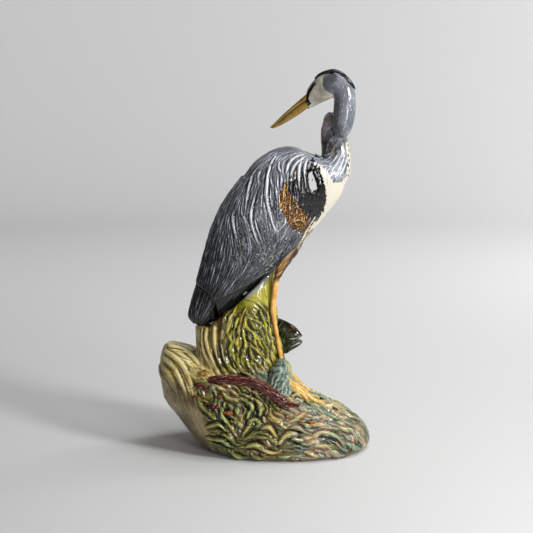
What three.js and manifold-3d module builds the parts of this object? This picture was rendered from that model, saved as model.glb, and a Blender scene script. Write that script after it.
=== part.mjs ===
// Glazed earthenware figure of a grey heron: the bird stands in front of a
// stump on a moulded ground of grass, with its head turned back over its body.
// Millimetres, +Z up, +X the way the breast faces, the origin at the middle of
// the footprint on the surface that the figure stands on.
import * as THREE from 'three';
import * as BufferGeometryUtils from 'three/addons/utils/BufferGeometryUtils.js';
import Module from 'manifold-3d';

const wasm = await Module();
wasm.setup();

// ---- driving dimensions ----------------------------------------------------
const HEIGHT = 1000; // floor to crown
const HALF_LENGTH = 281.5; // base, along X
const HALF_DEPTH = 165; // base, along Y
const GAP = 0.35; // clearance between neighbouring pieces
const WING_PROUD = 5; // how far a folded wing stands out of the body
const WING_DEPTH = 8; // how far it is let into the body
const WING_SPLIT = 9; // half the strip of back left between the wings
const NECK_TURN = -15; // the upper neck lies this far towards -Y
const EYE_RADIUS = 4.6;
const LEG_SPREAD = 47; // each leg, either side of the middle plane

// ---- side-view stations ----------------------------------------------------
// [x1, z1, x2, z2, y, w]: the two outline points of a section, the place of its
// middle across the figure, and its half width there.
const TRUNK = [
  [146, 762, 224, 746, 0, 33],
  [126, 778, 223, 727, 0, 46],
  [99, 792, 211, 702, 0, 60],
  [64, 803, 199, 671, 0, 71],
  [17, 792, 174, 637, 0, 79],
  [-28, 760, 142, 600, 0, 83],
  [-60, 719, 106, 556, 0, 84],
  [-93, 677, 70, 520, 0, 82],
  [-121, 630, 38, 484, 0, 77],
  [-142, 580, 8, 452, 0, 70],
  [-157, 528, -28, 426, 0, 62],
  [-168, 484, -72, 410, 0, 50],
  [-172, 458, -104, 410, 0, 34],
];
const WING_FORM = [
  ...TRUNK.slice(0, 9),
  [-142, 580, 10, 455, 0, 71],
  [-158, 526, -18, 428, 0, 67],
  [-171, 478, -48, 402, 0, 64],
  [-182, 434, -80, 372, 0, 60],
  [-190, 402, -108, 350, 0, 55],
  [-194, 382, -122, 340, 0, 50],
];
// Outline of a folded wing seen from the side, shoulder first, edge by edge.
const WING_OUTLINE = [
  [112, 759], [130, 745], [152, 698], [151, 662], [109, 614], [80, 545],
  [26, 492], [14, 475], [-57, 416], [-90, 378], [-120, 355], [-130, 402],
  [-152, 430], [-230, 470], [-210, 600], [-130, 745], [-45, 720], [10, 758],
  [70, 778],
];
const TAIL = [
  [-150, 500, -70, 440, 0, 40],
  [-178, 450, -84, 410, 0, 42],
  [-193, 405, -106, 388, 0, 43],
  [-203, 368, -117, 362, 0, 42],
  [-205, 352, -127, 344, 0, 38],
  [-196, 338, -143, 333, 0, 30],
  [-180, 330, -155, 328, 0, 15],
];
const HEAD = [
  [104, 933, 110, 897, -12, 12],
  [109, 950, 121, 900, -12, 17],
  [120, 966, 134, 906, -12, 20.5],
  [134, 981, 150, 914, -12, 22.5],
  [154, 991, 164, 920, -12, 23.5],
  [180, 996, 174, 926, -12.5, 24],
  [204, 985, 176, 926, -13, 25],
  [222, 966, 177, 922, -14, 26],
  [232, 942, 177, 912, NECK_TURN, 26.5],
];
const NECK_UPPER = [
  [232, 942, 177, 912, NECK_TURN, 26.5],
  [234, 918, 176, 897, NECK_TURN - 1, 27.5],
  [234, 893, 175.5, 882, NECK_TURN - 2, 28],
  [229.5, 866, 175, 858, NECK_TURN - 3, 27.5],
  [222, 842, 178, 840, NECK_TURN - 3, 26.5],
  [212, 829, 186, 830, NECK_TURN - 3, 20],
  [204, 825.5, 194, 826, NECK_TURN - 3, 9],
];
const NECK_LOWER = [
  [149, 742, 222, 728, 0, 34],
  [146, 764, 225, 750, 0, 35],
  [147, 787, 222, 789, 2, 34],
  [145, 816, 215, 824, 8, 31],
  [146, 843, 208, 847, 14, 29],
  [153, 866, 205, 863, 20, 27],
  [158, 880, 200, 876, 23, 22],
  [165, 889, 189, 886, 24, 12],
];
const CREST = [
  [127, 976.5, 133, 969, -12, 5],
  [138, 988, 144, 979, -12, 9],
  [156, 996.5, 159, 986, -12, 12],
  [179, HEIGHT, 178, 989, -12, 13],
  [202, 990.5, 197, 981, -12.5, 12],
  [221, 972, 214, 966, -13, 9],
  [230, 958, 225, 955, -13.5, 5],
  [233, 948, 231, 947, -14, 1.5],
];
const BILL_UPPER = [
  [110, 938, 112, 919.4, -12, 11.5],
  [104, 934, 106, 919.4, -12, 10.5],
  [78, 911.5, 81, 902, -12, 7.5],
  [48, 885, 51, 878, -12, 5],
  [25, 862.5, 28, 858.6, -12, 2.8],
  [12.5, 850.4, 14, 849.4, -12, 0.9],
];
const BILL_LOWER = [
  [112, 918.7, 116, 896, -12, 11],
  [106, 918.7, 110, 899, -12, 10],
  [81, 901.3, 87, 882.5, -12, 8],
  [51, 877.3, 58, 865, -12, 5.5],
  [28, 857.9, 33, 852, -12, 3],
  [16, 848.7, 18, 847.4, -12, 0.9],
];
// Sections of the ground, stump and root are level: z1 = z2.
const MOUND = [
  [-150, 0, 262, 0, 0, 150],
  [-164, 8, 276, 8, 0, 162],
  [-188, 26, HALF_LENGTH, 26, 0, HALF_DEPTH],
  [-212, 57, 266, 57, 0, 163],
  [-233, 86, 228, 86, 0, 157],
  [-257, 117, 168, 117, 2, 149],
  [-270, 140, 118, 140, 3, 140],
  [-276, 176, 76, 176, 4, 126],
  [-HALF_LENGTH, 206, 60, 206, 5, 108],
  [-264, 226, 42, 226, 6, 80],
  [-205, 236, 0, 236, 6, 42],
];
const ROOT = [
  [-262, 180, -110, 180, 6, 92],
  [-HALF_LENGTH, 206, -118, 206, 8, 84],
  [-278, 222, -124, 222, 8, 76],
  [-275.5, 242, -140, 240, 8, 66],
  [-272, 258, -170, 254, 8, 52],
  [-267, 270, -205, 266, 8, 36],
  [-259, 277.5, -238, 276, 8, 15],
];
const STUMP = [
  [-196, 180, 62, 180, 0, 98],
  [-186, 225, 53, 225, 0, 88],
  [-180, 262, 46, 262, 0, 82],
  [-181, 300, 38, 300, 0, 78],
  [-178, 340, 32, 340, 0, 73],
  [-150, 384, 29, 384, 0, 66],
  [-104, 430, 29, 430, 0, 58],
  [-50, 480, 27, 480, 0, 44],
];
const PIKE = [
  [-150, 318, -156, 268, 86, 4],
  [-128, 300, -128, 284, 88, 7],
  [-90, 314, -88, 264, 86, 17],
  [-30, 330, -24, 262, 78, 24],
  [20, 338, 26, 250, 56, 27],
  [44, 337, 54, 241, 30, 26],
  [66, 330, 71, 254, 14, 21],
  [84, 319, 86, 264, 8, 15],
  [96, 305, 97, 273, 6, 9],
  [101, 297, 102, 280, 5, 4],
];
const PIKE_MOUTH = [[85, 290], [112, 300], [112, 279]];
const LEAF_BUD = [
  [40, 172, 68, 172, 8, 16],
  [39, 196, 73, 194, 6, 17],
  [42, 214, 72, 210, 4, 14],
  [47, 226, 66, 222, 2, 9],
  [51, 232, 58, 231, 1, 3],
];
const ROCK = [
  [4, 168, 70, 160, -92, 30],
  [4, 196, 64, 190, -86, 27],
  [14, 222, 59, 222, -78, 20],
  [30, 244, 54, 244, -71, 11],
  [41, 252, 50, 251, -68, 4],
];

// ---- paths: [x, y, z, radius] -------------------------------------------------
const LOG = [
  [-150, -84, 190, 8], [-136, -102, 204, 9.5], [-90, -112, 206, 11.5],
  [-45, -115, 203, 12.5], [-15, -117, 194, 14], [12, -120, 178, 14],
  [36, -124, 161, 13], [58, -129, 147, 9.5], [76, -133, 146, 6], [90, -136, 143, 4],
];
const THIGH = [
  [82, -LEG_SPREAD + 6, 585, 27], [68, -LEG_SPREAD + 2, 545, 24],
  [50, -LEG_SPREAD, 508, 16], [38, -LEG_SPREAD, 480, 11],
  [33, -LEG_SPREAD, 466, 9],
];
const LEG = [
  [32, -LEG_SPREAD, 465, 8.4], [26, -LEG_SPREAD, 430, 7.6],
  [22, -LEG_SPREAD, 395, 7.8], [21.5, -LEG_SPREAD, 376, 9],
  [23.8, -LEG_SPREAD, 356, 7], [29.5, -LEG_SPREAD, 325, 5.6],
  [37, -LEG_SPREAD, 280, 5.2], [43, -LEG_SPREAD, 247, 5.4],
  [47.5, -LEG_SPREAD, 214, 6.6], [50, -LEG_SPREAD, 190, 8],
];
const FAR_LEG_SHIFT = -6; // the far leg stands this much nearer the stump
// Toes: bearing from the ankle in degrees (0 = forwards), length, root radius.
const TOES = [[2, 132, 8.5], [22, 106, 7.5], [-13, 94, 7.5], [176, 62, 7]];
// Berries and blossoms set in the grass: [x, y, radius].
const BERRIES = [[-157, -91, 9], [-130, -136, 9], [-93, -143, 7]];

// ---- helpers ---------------------------------------------------------------
const spline = (a, b, c, d, t) =>
  0.5 * (2 * b + (c - a) * t + (2 * a - 5 * b + 4 * c - d) * t * t +
    (3 * b - a - 3 * c + d) * t * t * t);

// The station rows with steps rows for each interval, on a smooth curve.
function smooth(rows, steps) {
  const out = [];
  for (let i = 0; i + 1 < rows.length; i += 1) {
    const [a, b, c, d] = [-1, 0, 1, 2].map(
      (k) => rows[Math.min(rows.length - 1, Math.max(0, i + k))]);
    for (let s = 0; s < steps; s += 1) {
      out.push(b.map((v, j) => spline(a[j], v, c[j], d[j], s / steps)));
    }
  }
  out.push(rows[rows.length - 1]);
  return out;
}

// A closed body from rings of points: sides between rings, a fan on each end.
function skinRings(rings) {
  const n = rings[0].length;
  const points = [];
  const faces = [];
  rings.forEach((ring) => ring.forEach((p) => points.push(p.x, p.y, p.z)));
  for (let r = 0; r + 1 < rings.length; r += 1) {
    for (let i = 0; i < n; i += 1) {
      const a = r * n + i;
      const b = r * n + ((i + 1) % n);
      faces.push(a, b, b + n, a, b + n, a + n);
    }
  }
  for (const [ring, first, flip] of [[rings[0], 0, true],
    [rings[rings.length - 1], (rings.length - 1) * n, false]]) {
    const c = ring.reduce((s, p) => s.add(p), new THREE.Vector3()).divideScalar(n);
    const hub = points.length / 3;
    points.push(c.x, c.y, c.z);
    for (let i = 0; i < n; i += 1) {
      const a = first + i;
      const b = first + ((i + 1) % n);
      faces.push(...(flip ? [hub, b, a] : [hub, a, b]));
    }
  }
  return toSolid(points, faces);
}

function toSolid(points, faces) {
  const make = (triVerts) => new wasm.Manifold(new wasm.Mesh({
    numProp: 3,
    vertProperties: new Float32Array(points),
    triVerts: new Uint32Array(triVerts),
  }));
  const solid = make(faces);
  if (solid.volume() > 0) return solid;
  const turned = [];
  for (let i = 0; i < faces.length; i += 3) {
    turned.push(faces[i], faces[i + 2], faces[i + 1]);
  }
  return make(turned);
}

// Loft through side-view stations. power 2 is an ellipse, more is squarer;
// folds is [how many, how deep] for grooves that run along the form.
function loft(rows, { sides = 24, steps = 2, grow = 0, power = 2, folds = [0, 0], twist = 0 } = {}) {
  const fine = smooth(rows, steps);
  const rings = fine.map(([x1, z1, x2, z2, y, w], r) => {
    const half = Math.hypot(x2 - x1, z2 - z1) / 2 || 0.01;
    const ux = (x2 - x1) / (2 * half);
    const uz = (z2 - z1) / (2 * half);
    const ring = [];
    for (let i = 0; i < sides; i += 1) {
      const t = (2 * Math.PI * i) / sides;
      const round = (v) => Math.sign(v) * Math.abs(v) ** (2 / power);
      const wave = 1 + folds[1] * Math.cos(folds[0] * t + twist * r);
      const along = round(Math.cos(t)) * (half * wave + grow);
      const across = round(Math.sin(t)) * (w * wave + grow);
      ring.push(new THREE.Vector3(
        (x1 + x2) / 2 + ux * along, y + across, (z1 + z2) / 2 + uz * along));
    }
    return ring;
  });
  if (grow > 0) {
    // push the two end rings out, so that a grown body also clears its ends
    for (const [end, next] of [[0, 1], [rings.length - 1, rings.length - 2]]) {
      const mid = (ring) => ring.reduce(
        (s, p) => s.add(p), new THREE.Vector3()).divideScalar(ring.length);
      const away = mid(rings[end]).sub(mid(rings[next])).normalize().multiplyScalar(grow);
      rings[end].forEach((p) => p.add(away));
    }
  }
  return skinRings(rings);
}

// A round limb along [x, y, z, radius] points.
function limb(rows, { sides = 10, steps = 2, grow = 0 } = {}) {
  const fine = smooth(rows, steps);
  const at = (k) => new THREE.Vector3(...fine[k]);
  const rings = [];
  let side = null;
  fine.forEach((row, k) => {
    const tangent = at(Math.min(k + 1, fine.length - 1)).sub(at(Math.max(k - 1, 0))).normalize();
    if (!side) {
      side = new THREE.Vector3(0, 1, 0);
      if (Math.abs(tangent.y) > 0.8) side.set(1, 0, 0);
    }
    side.addScaledVector(tangent, -side.dot(tangent)).normalize();
    const other = new THREE.Vector3().crossVectors(tangent, side);
    const ring = [];
    for (let i = 0; i < sides; i += 1) {
      const t = (2 * Math.PI * i) / sides;
      ring.push(at(k)
        .addScaledVector(side, Math.cos(t) * (row[3] + grow))
        .addScaledVector(other, Math.sin(t) * (row[3] + grow)));
    }
    if (grow > 0 && (k === 0 || k === fine.length - 1)) {
      ring.forEach((p) => p.addScaledVector(tangent, k === 0 ? -grow : grow));
    }
    rings.push(ring);
  });
  return skinRings(rings);
}

function fromGeometry(geometry) {
  geometry.deleteAttribute('normal');
  geometry.deleteAttribute('uv');
  const merged = BufferGeometryUtils.mergeVertices(geometry, 1e-4);
  return toSolid([...merged.attributes.position.array], [...merged.index.array]);
}

// A side-view outline drawn out across the figure, from y0 to y1.
function plate(outline, y0, y1) {
  const shape = new THREE.Shape(outline.map(([x, z]) => new THREE.Vector2(x, z)));
  const geometry = new THREE.ExtrudeGeometry(shape, { depth: y1 - y0, bevelEnabled: false });
  geometry.rotateX(Math.PI / 2); // (x, z) stands up, depth runs towards -Y
  geometry.translate(0, y1, 0);
  return fromGeometry(geometry);
}

function ball(x, y, z, r) {
  const geometry = new THREE.SphereGeometry(r, 8, 5);
  geometry.rotateX(Math.PI / 2);
  geometry.translate(x, y, z);
  return fromGeometry(geometry);
}

const slab = (z0, z1) => plate([[-600, z0], [600, z0], [600, z1], [-600, z1]], -600, 600);
const mirrored = (rows, at = 1) => rows.map(
  (row) => row.map((v, j) => (j === at ? -v : v)));
const grown = (outline, d) => {
  // outline moved out by d along the mean of its two edge normals
  const n = outline.length;
  return outline.map(([x, z], i) => {
    const [ax, az] = outline[(i + n - 1) % n];
    const [bx, bz] = outline[(i + 1) % n];
    const len = Math.hypot(bx - ax, bz - az);
    return [x - ((bz - az) / len) * d, z + ((bx - ax) / len) * d];
  });
};

// Height of the ground's top surface at (x, y), from its level sections.
const groundRows = smooth(MOUND, 6);
function groundAt(x, y) {
  for (let i = groundRows.length - 1; i >= 0; i -= 1) {
    const [x1, z, x2, , cy, w] = groundRows[i];
    const a = (x2 - x1) / 2;
    if (Math.abs((x - (x1 + x2) / 2) / a) ** 2.3 + Math.abs((y - cy) / w) ** 2.3 < 1) {
      return z;
    }
  }
  return 0;
}

// ---- the bird ---------------------------------------------------------------
const trunkWhole = (grow) => loft(TRUNK, { sides: 16, steps: 1, grow });
const tailWhole = (grow) => loft(TAIL, { sides: 12, steps: 1, grow });
const wingForm = (grow) => loft(WING_FORM, { sides: 16, steps: 1, grow });
const wing = (side, extra) => wingForm(WING_PROUD + extra)
  .intersect(side < 0
    ? plate(grown(WING_OUTLINE, extra), -200, -WING_SPLIT + extra)
    : plate(grown(WING_OUTLINE, extra), WING_SPLIT - extra, 200))
  .subtract(wingForm(-WING_DEPTH - extra));

const neckUp = (grow) => loft(NECK_UPPER, { sides: 14, steps: 1, grow });
const neckDown = (grow) => loft(NECK_LOWER, { sides: 14, steps: 1, grow });
const bend = limb([[180, 20, 868, 20], [196, 2, 858, 22], [204, -12, 850, 20]], { sides: 8, steps: 1 });
const headWhole = (grow) => loft(HEAD, { sides: 12, steps: 1, grow });
const crest = (grow) => loft(CREST, { sides: 10, steps: 1, grow });
const eye = (side, grow) => ball(127, -12 + side * 17.6, 962, EYE_RADIUS + grow);
const beak = (rows) => loft(rows, { sides: 10, steps: 1 });

const thigh = (side, grow) => limb(
  side < 0 ? THIGH : mirrored(THIGH), { sides: 8, steps: 1, grow });
const legRows = (side) => (side < 0 ? LEG
  : mirrored(LEG).map(([x, y, z, r]) => [x + FAR_LEG_SHIFT, y, z, r]));
const leg = (side, grow) => limb(legRows(side), { sides: 8, steps: 1, grow });

// Toes lie on the ground: each runs out from the ankle along its bearing.
function foot(side, grow) {
  const [ax, ay] = legRows(side)[LEG.length - 1];
  let all = ball(ax, ay, groundAt(ax, ay) + 5, 11 + grow);
  for (const [bearing, length, radius] of TOES) {
    const turn = (bearing * Math.PI) / 180;
    const rows = [];
    for (let i = 0; i <= 4; i += 1) {
      const d = (length * i) / 4;
      const x = ax + d * Math.cos(turn);
      const y = ay + d * Math.sin(turn);
      const r = radius * (1 - 0.75 * (i / 4) ** 1.5);
      rows.push([x, y, groundAt(x, y) + r * 0.55, r]);
    }
    all = all.add(limb(rows, { sides: 6, steps: 1, grow }));
  }
  return all;
}

// ---- the base ---------------------------------------------------------------
const mound = (grow) => loft(MOUND, {
  sides: 28, steps: 1, grow, power: 2.3, folds: [5, 0.008], twist: 0.3 });
const stumpWhole = (grow) => loft(STUMP, {
  sides: 20, steps: 1, grow, power: 2.4, folds: [5, 0.025], twist: 0.12 });
const rootWhole = (grow) => loft(ROOT, {
  sides: 16, steps: 1, grow, power: 2, folds: [5, 0.015], twist: 0.1 });
const pikeWhole = (grow) => loft(PIKE, { sides: 10, steps: 1, grow })
  .subtract(plate(PIKE_MOUTH, -60, 60));
const rock = (grow) => loft(ROCK, { sides: 12, steps: 1, grow });
const leafBud = (grow) => loft(LEAF_BUD, { sides: 12, steps: 1, grow });
const log = (grow) => limb(LOG, { sides: 8, steps: 1, grow });

// ---- parting: each piece is cut back from the forms listed after it ----------
// A form is a function of how far it is grown.
const cut = (solid, ...forms) => forms.reduce((s, form) => s.subtract(form(GAP)), solid);
const above = (z) => slab(z, 1200);
const below = (z) => slab(-100, z);
const NECK_PART = 846; // level of the cut between lower and middle neck

const eyes = [(g) => eye(1, g), (g) => eye(-1, g)];
const wings = [(g) => wing(-1, g), (g) => wing(1, g)];
const thighs = [(g) => thigh(-1, g), (g) => thigh(1, g)];
const legs = [(g) => leg(-1, g), (g) => leg(1, g)];
const feet = [(g) => foot(-1, g), (g) => foot(1, g)];
// What rests on the stump: the belly, and a plain slope under tail and wing tips.
const UNDER_TAIL = [
  [-300, 560], [60, 560], [60, 506], [26, 485], [12, 473], [-10, 453],
  [-40, 424], [-62, 404], [-92, 376], [-118, 358], [-142, 330], [-300, 330],
];
const underTail = (grow) => plate(grown(UNDER_TAIL, grow), -200, 200);

const pieces = {};
pieces.eye_right = eye(1, 0);
pieces.eye_left = eye(-1, 0);
pieces.crest = crest(0);
pieces.head = cut(headWhole(0), crest, ...eyes);
pieces.bill_upper = cut(beak(BILL_UPPER), headWhole);
pieces.bill_lower = cut(beak(BILL_LOWER), headWhole);
pieces.neck_upper = cut(neckUp(0), headWhole, crest);
pieces.neck_middle = cut(neckDown(0).add(bend), neckUp, headWhole).subtract(below(NECK_PART));
pieces.neck_lower = cut(neckDown(0), neckUp, trunkWhole)
  .subtract(trunkWhole(0)) // the fan of sections is tight where the neck joins
  .subtract(above(NECK_PART - GAP));
pieces.wing_right = wing(-1, 0);
pieces.wing_left = wing(1, 0);
pieces.trunk = cut(trunkWhole(0), ...wings, ...thighs);
pieces.thigh_right = cut(thigh(-1, 0), ...wings);
pieces.thigh_left = cut(thigh(1, 0), ...wings);
pieces.tail = cut(tailWhole(0), trunkWhole, ...wings);
pieces.mound = mound(0).subtract(below(0));
pieces.root = cut(rootWhole(0), mound);
pieces.leg_right = cut(leg(-1, 0), thighs[0], mound);
pieces.leg_left = cut(leg(1, 0), thighs[1], mound);
pieces.stump = cut(stumpWhole(0), mound, rootWhole, underTail, trunkWhole, tailWhole, ...wings,
  ...thighs, ...legs);
pieces.foot_right = cut(foot(-1, 0), mound, stumpWhole, legs[0]);
pieces.foot_left = cut(foot(1, 0), mound, stumpWhole, legs[1]);
pieces.rock = cut(rock(0), mound, stumpWhole, legs[0], feet[0]);
pieces.leaf_bud = cut(leafBud(0), mound, stumpWhole, ...legs, ...feet);
pieces.pike = cut(pikeWhole(0), stumpWhole, mound, ...legs, leafBud);
pieces.log = cut(log(0), mound, rock, stumpWhole, rootWhole);
BERRIES.forEach(([x, y, r], i) => {
  const berry = ball(x, y, groundAt(x, y) + r * 0.4, r);
  pieces[`berry_${i + 1}`] = cut(berry, mound, log, rootWhole, stumpWhole);
});

// ---- finish: colour, roughness, metalness ------------------------------------
const FINISH = {
  eye: [0x14120f, 0.08], crest: [0x17181a, 0.15], head: [0xb5b1a4, 0.15],
  bill: [0x9a7f3c, 0.2], neck: [0x7c7f86, 0.15], wing: [0x5c6068, 0.15],
  trunk: [0xb9bcc0, 0.15], thigh: [0x8f6a42, 0.2], tail: [0x4a4b4e, 0.15],
  mound: [0x6f6b40, 0.18], root: [0xb6a36c, 0.25], leg: [0xc08a3a, 0.2],
  stump: [0x7d7430, 0.18], foot: [0xc98f3c, 0.2], rock: [0x66796f, 0.15],
  leaf: [0x9aa04a, 0.2], pike: [0x33301f, 0.12], log: [0x5b2a22, 0.15],
  berry: [0x9c3120, 0.12],
};

const figure = new THREE.Group();
for (const [name, solid] of Object.entries(pieces)) {
  // keep the largest body of a piece: a cut may leave a crumb beside it
  const bodies = solid.decompose().sort((a, b) => b.volume() - a.volume());
  const mesh = bodies[0].getMesh();
  const geometry = new THREE.BufferGeometry();
  geometry.setAttribute('position', new THREE.BufferAttribute(mesh.vertProperties, 3));
  geometry.setIndex(new THREE.BufferAttribute(mesh.triVerts, 1));
  const [color, roughness] = FINISH[name.split('_')[0]];
  const material = new THREE.MeshStandardMaterial({ color, roughness, metalness: 0 });
  const node = new THREE.Mesh(geometry, material);
  node.name = name;
  figure.add(node);
}

// the origin goes to the middle of the figure's plan
const plan = new THREE.Box3().setFromObject(figure).getCenter(new THREE.Vector3());
figure.position.set(-plan.x, -plan.y, 0);

export default figure;
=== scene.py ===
import math
from collections import defaultdict

import bmesh
import bpy
import numpy as np
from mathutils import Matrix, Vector
from mathutils.bvhtree import BVHTree


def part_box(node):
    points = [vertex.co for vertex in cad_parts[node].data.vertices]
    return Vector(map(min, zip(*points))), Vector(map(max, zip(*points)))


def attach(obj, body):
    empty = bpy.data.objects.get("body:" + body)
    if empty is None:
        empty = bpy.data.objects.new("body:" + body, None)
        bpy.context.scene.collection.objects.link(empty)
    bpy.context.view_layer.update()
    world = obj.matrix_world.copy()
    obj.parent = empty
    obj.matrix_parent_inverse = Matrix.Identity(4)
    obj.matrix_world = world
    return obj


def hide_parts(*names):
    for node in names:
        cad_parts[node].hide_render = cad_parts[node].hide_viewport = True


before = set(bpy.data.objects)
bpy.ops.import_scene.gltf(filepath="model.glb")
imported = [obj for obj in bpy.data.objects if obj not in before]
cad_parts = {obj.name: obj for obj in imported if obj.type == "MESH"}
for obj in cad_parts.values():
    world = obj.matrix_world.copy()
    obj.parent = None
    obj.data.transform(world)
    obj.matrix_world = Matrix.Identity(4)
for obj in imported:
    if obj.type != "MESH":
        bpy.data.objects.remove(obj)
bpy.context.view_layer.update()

# A moulded and glazed earthenware figure of a grey heron. Its forms are drawn in
# millimetres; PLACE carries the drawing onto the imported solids.
MM = 0.001
RANDOM = np.random.default_rng(11)
EYE = np.array([127.0, -12.0, 962.0])  # middle of the head between the two eyes
EYE_OUT = 17.6
low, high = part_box("eye_right")
PLACE = (np.array(low) + np.array(high)) / 2 / MM - (EYE + [0, EYE_OUT, 0])

# ---- sections: [x1, z1, x2, z2, y, w], two outline points, middle, half width ----
TRUNK = [
    [146, 762, 224, 746, 0, 33], [126, 778, 223, 727, 0, 46],
    [99, 792, 211, 702, 0, 60], [64, 803, 199, 671, 0, 71],
    [17, 792, 174, 637, 0, 79], [-28, 760, 142, 600, 0, 83],
    [-60, 719, 106, 556, 0, 84], [-93, 677, 70, 520, 0, 82],
    [-121, 630, 38, 484, 0, 77], [-142, 580, 8, 452, 0, 70],
    [-157, 528, -28, 426, 0, 62], [-168, 484, -72, 410, 0, 50],
    [-172, 458, -104, 410, 0, 34],
]
WING_FORM = TRUNK[:9] + [
    [-142, 580, 10, 455, 0, 71], [-158, 526, -18, 428, 0, 67],
    [-171, 478, -48, 402, 0, 64], [-182, 434, -80, 372, 0, 60],
    [-190, 402, -108, 350, 0, 55], [-194, 382, -122, 340, 0, 50],
]
WING_EDGE = [
    (112, 759), (130, 745), (152, 698), (151, 662), (109, 614), (80, 545),
    (26, 492), (14, 475), (-57, 416), (-90, 378), (-120, 355), (-130, 402),
    (-152, 430), (-230, 470), (-210, 600), (-130, 745), (-45, 720), (10, 758),
    (70, 778),
]
WING_PROUD, WING_DEPTH, WING_SPLIT = 5, 8, 9
TAIL = [
    [-150, 500, -70, 440, 0, 40], [-178, 450, -84, 410, 0, 42],
    [-193, 405, -106, 388, 0, 43], [-203, 368, -117, 362, 0, 42],
    [-205, 352, -127, 344, 0, 38], [-196, 338, -143, 333, 0, 30],
    [-180, 330, -155, 328, 0, 15],
]
HEAD = [
    [104, 933, 110, 897, -12, 12], [109, 950, 121, 900, -12, 17],
    [120, 966, 134, 906, -12, 20.5], [134, 981, 150, 914, -12, 22.5],
    [154, 991, 164, 920, -12, 23.5], [180, 996, 174, 926, -12.5, 24],
    [204, 985, 176, 926, -13, 25], [222, 966, 177, 922, -14, 26],
    [232, 942, 177, 912, -15, 26.5],
]
NECK_UPPER = HEAD[-2:] + [
    [234, 918, 176, 897, -16, 27.5], [234, 893, 175.5, 882, -17, 28],
    [229.5, 866, 175, 858, -18, 27.5], [222, 842, 178, 840, -18, 26.5],
    [212, 829, 186, 830, -18, 20], [204, 825.5, 194, 826, -18, 9],
]
NECK_LOWER = [
    [126, 787, 223, 727, 0, 34], [149, 742, 222, 728, 0, 34],
    [146, 764, 225, 750, 0, 35], [147, 787, 222, 789, 2, 34],
    [145, 816, 215, 824, 8, 31], [146, 843, 208, 847, 14, 29],
    [153, 866, 205, 863, 20, 27], [158, 880, 200, 876, 23, 22],
    [165, 889, 189, 886, 24, 12],
]
NECK_BEND = [[180, 20, 868, 20], [196, 2, 858, 22], [204, -12, 850, 20]]
CREST = [
    [127, 976.5, 133, 969, -12, 5], [138, 988, 144, 979, -12, 9],
    [156, 996.5, 159, 986, -12, 12], [179, 1000, 178, 989, -12, 13],
    [202, 990.5, 197, 981, -12.5, 12], [221, 972, 214, 966, -13, 9],
    [230, 958, 225, 955, -13.5, 5], [233, 948, 231, 947, -14, 1.5],
]
BILL_UPPER = [
    [110, 938, 112, 919.4, -12, 11.5], [104, 934, 106, 919.4, -12, 10.5],
    [78, 911.5, 81, 902, -12, 7.5], [48, 885, 51, 878, -12, 5],
    [25, 862.5, 28, 858.6, -12, 2.8], [12.5, 850.4, 14, 849.4, -12, 0.9],
]
BILL_LOWER = [
    [112, 918.7, 116, 896, -12, 11], [106, 918.7, 110, 899, -12, 10],
    [81, 901.3, 87, 882.5, -12, 8], [51, 877.3, 58, 865, -12, 5.5],
    [28, 857.9, 33, 852, -12, 3], [16, 848.7, 18, 847.4, -12, 0.9],
]
MOUND = [
    [-150, 0, 262, 0, 0, 150], [-164, 8, 276, 8, 0, 162],
    [-188, 26, 281.5, 26, 0, 165], [-212, 57, 266, 57, 0, 163],
    [-233, 86, 228, 86, 0, 157], [-257, 117, 168, 117, 2, 149],
    [-270, 140, 118, 140, 3, 140], [-276, 176, 76, 176, 4, 126],
    [-281.5, 206, 60, 206, 5, 108], [-264, 226, 42, 226, 6, 80],
    [-205, 236, 0, 236, 6, 42],
]
ROOT = [
    [-262, 180, -110, 180, 6, 92], [-281.5, 206, -118, 206, 8, 84],
    [-278, 222, -124, 222, 8, 76], [-275.5, 242, -140, 240, 8, 66],
    [-272, 258, -170, 254, 8, 52], [-267, 270, -205, 266, 8, 36],
    [-259, 277.5, -238, 276, 8, 15],
]
STUMP = [
    [-196, 180, 62, 180, 0, 98], [-186, 225, 53, 225, 0, 88],
    [-180, 262, 46, 262, 0, 82], [-181, 300, 38, 300, 0, 78],
    [-178, 340, 32, 340, 0, 73], [-150, 384, 29, 384, 0, 66],
    [-104, 430, 29, 430, 0, 58], [-50, 480, 27, 480, 0, 44],
]
PIKE = [
    [-150, 318, -156, 268, 86, 4], [-128, 300, -128, 284, 88, 7],
    [-90, 314, -88, 264, 86, 17], [-30, 330, -24, 262, 78, 24],
    [20, 338, 26, 250, 56, 27], [44, 337, 54, 241, 30, 26],
    [66, 330, 71, 254, 14, 21], [84, 319, 86, 264, 8, 15],
    [96, 305, 97, 273, 6, 9], [101, 297, 102, 280, 5, 4],
]
LEAF_BUD = [
    [40, 172, 68, 172, 8, 16], [39, 196, 73, 194, 6, 17],
    [42, 214, 72, 210, 4, 14], [47, 226, 66, 222, 2, 9],
    [51, 232, 58, 231, 1, 3],
]
ROCK = [
    [4, 168, 70, 160, -92, 30], [4, 196, 64, 190, -86, 27],
    [14, 222, 59, 222, -78, 20], [30, 244, 54, 244, -71, 11],
    [41, 252, 50, 251, -68, 4],
]
# What rests on the stump: its top is sloped off under the tail and wing tips.
UNDER_TAIL = [
    (-300, 560), (60, 560), (60, 506), (26, 485), (12, 473), (-10, 453),
    (-40, 424), (-62, 404), (-92, 376), (-118, 358), (-142, 330), (-300, 330),
]
PIKE_MOUTH = [(85, 290), (112, 300), (112, 279)]
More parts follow.
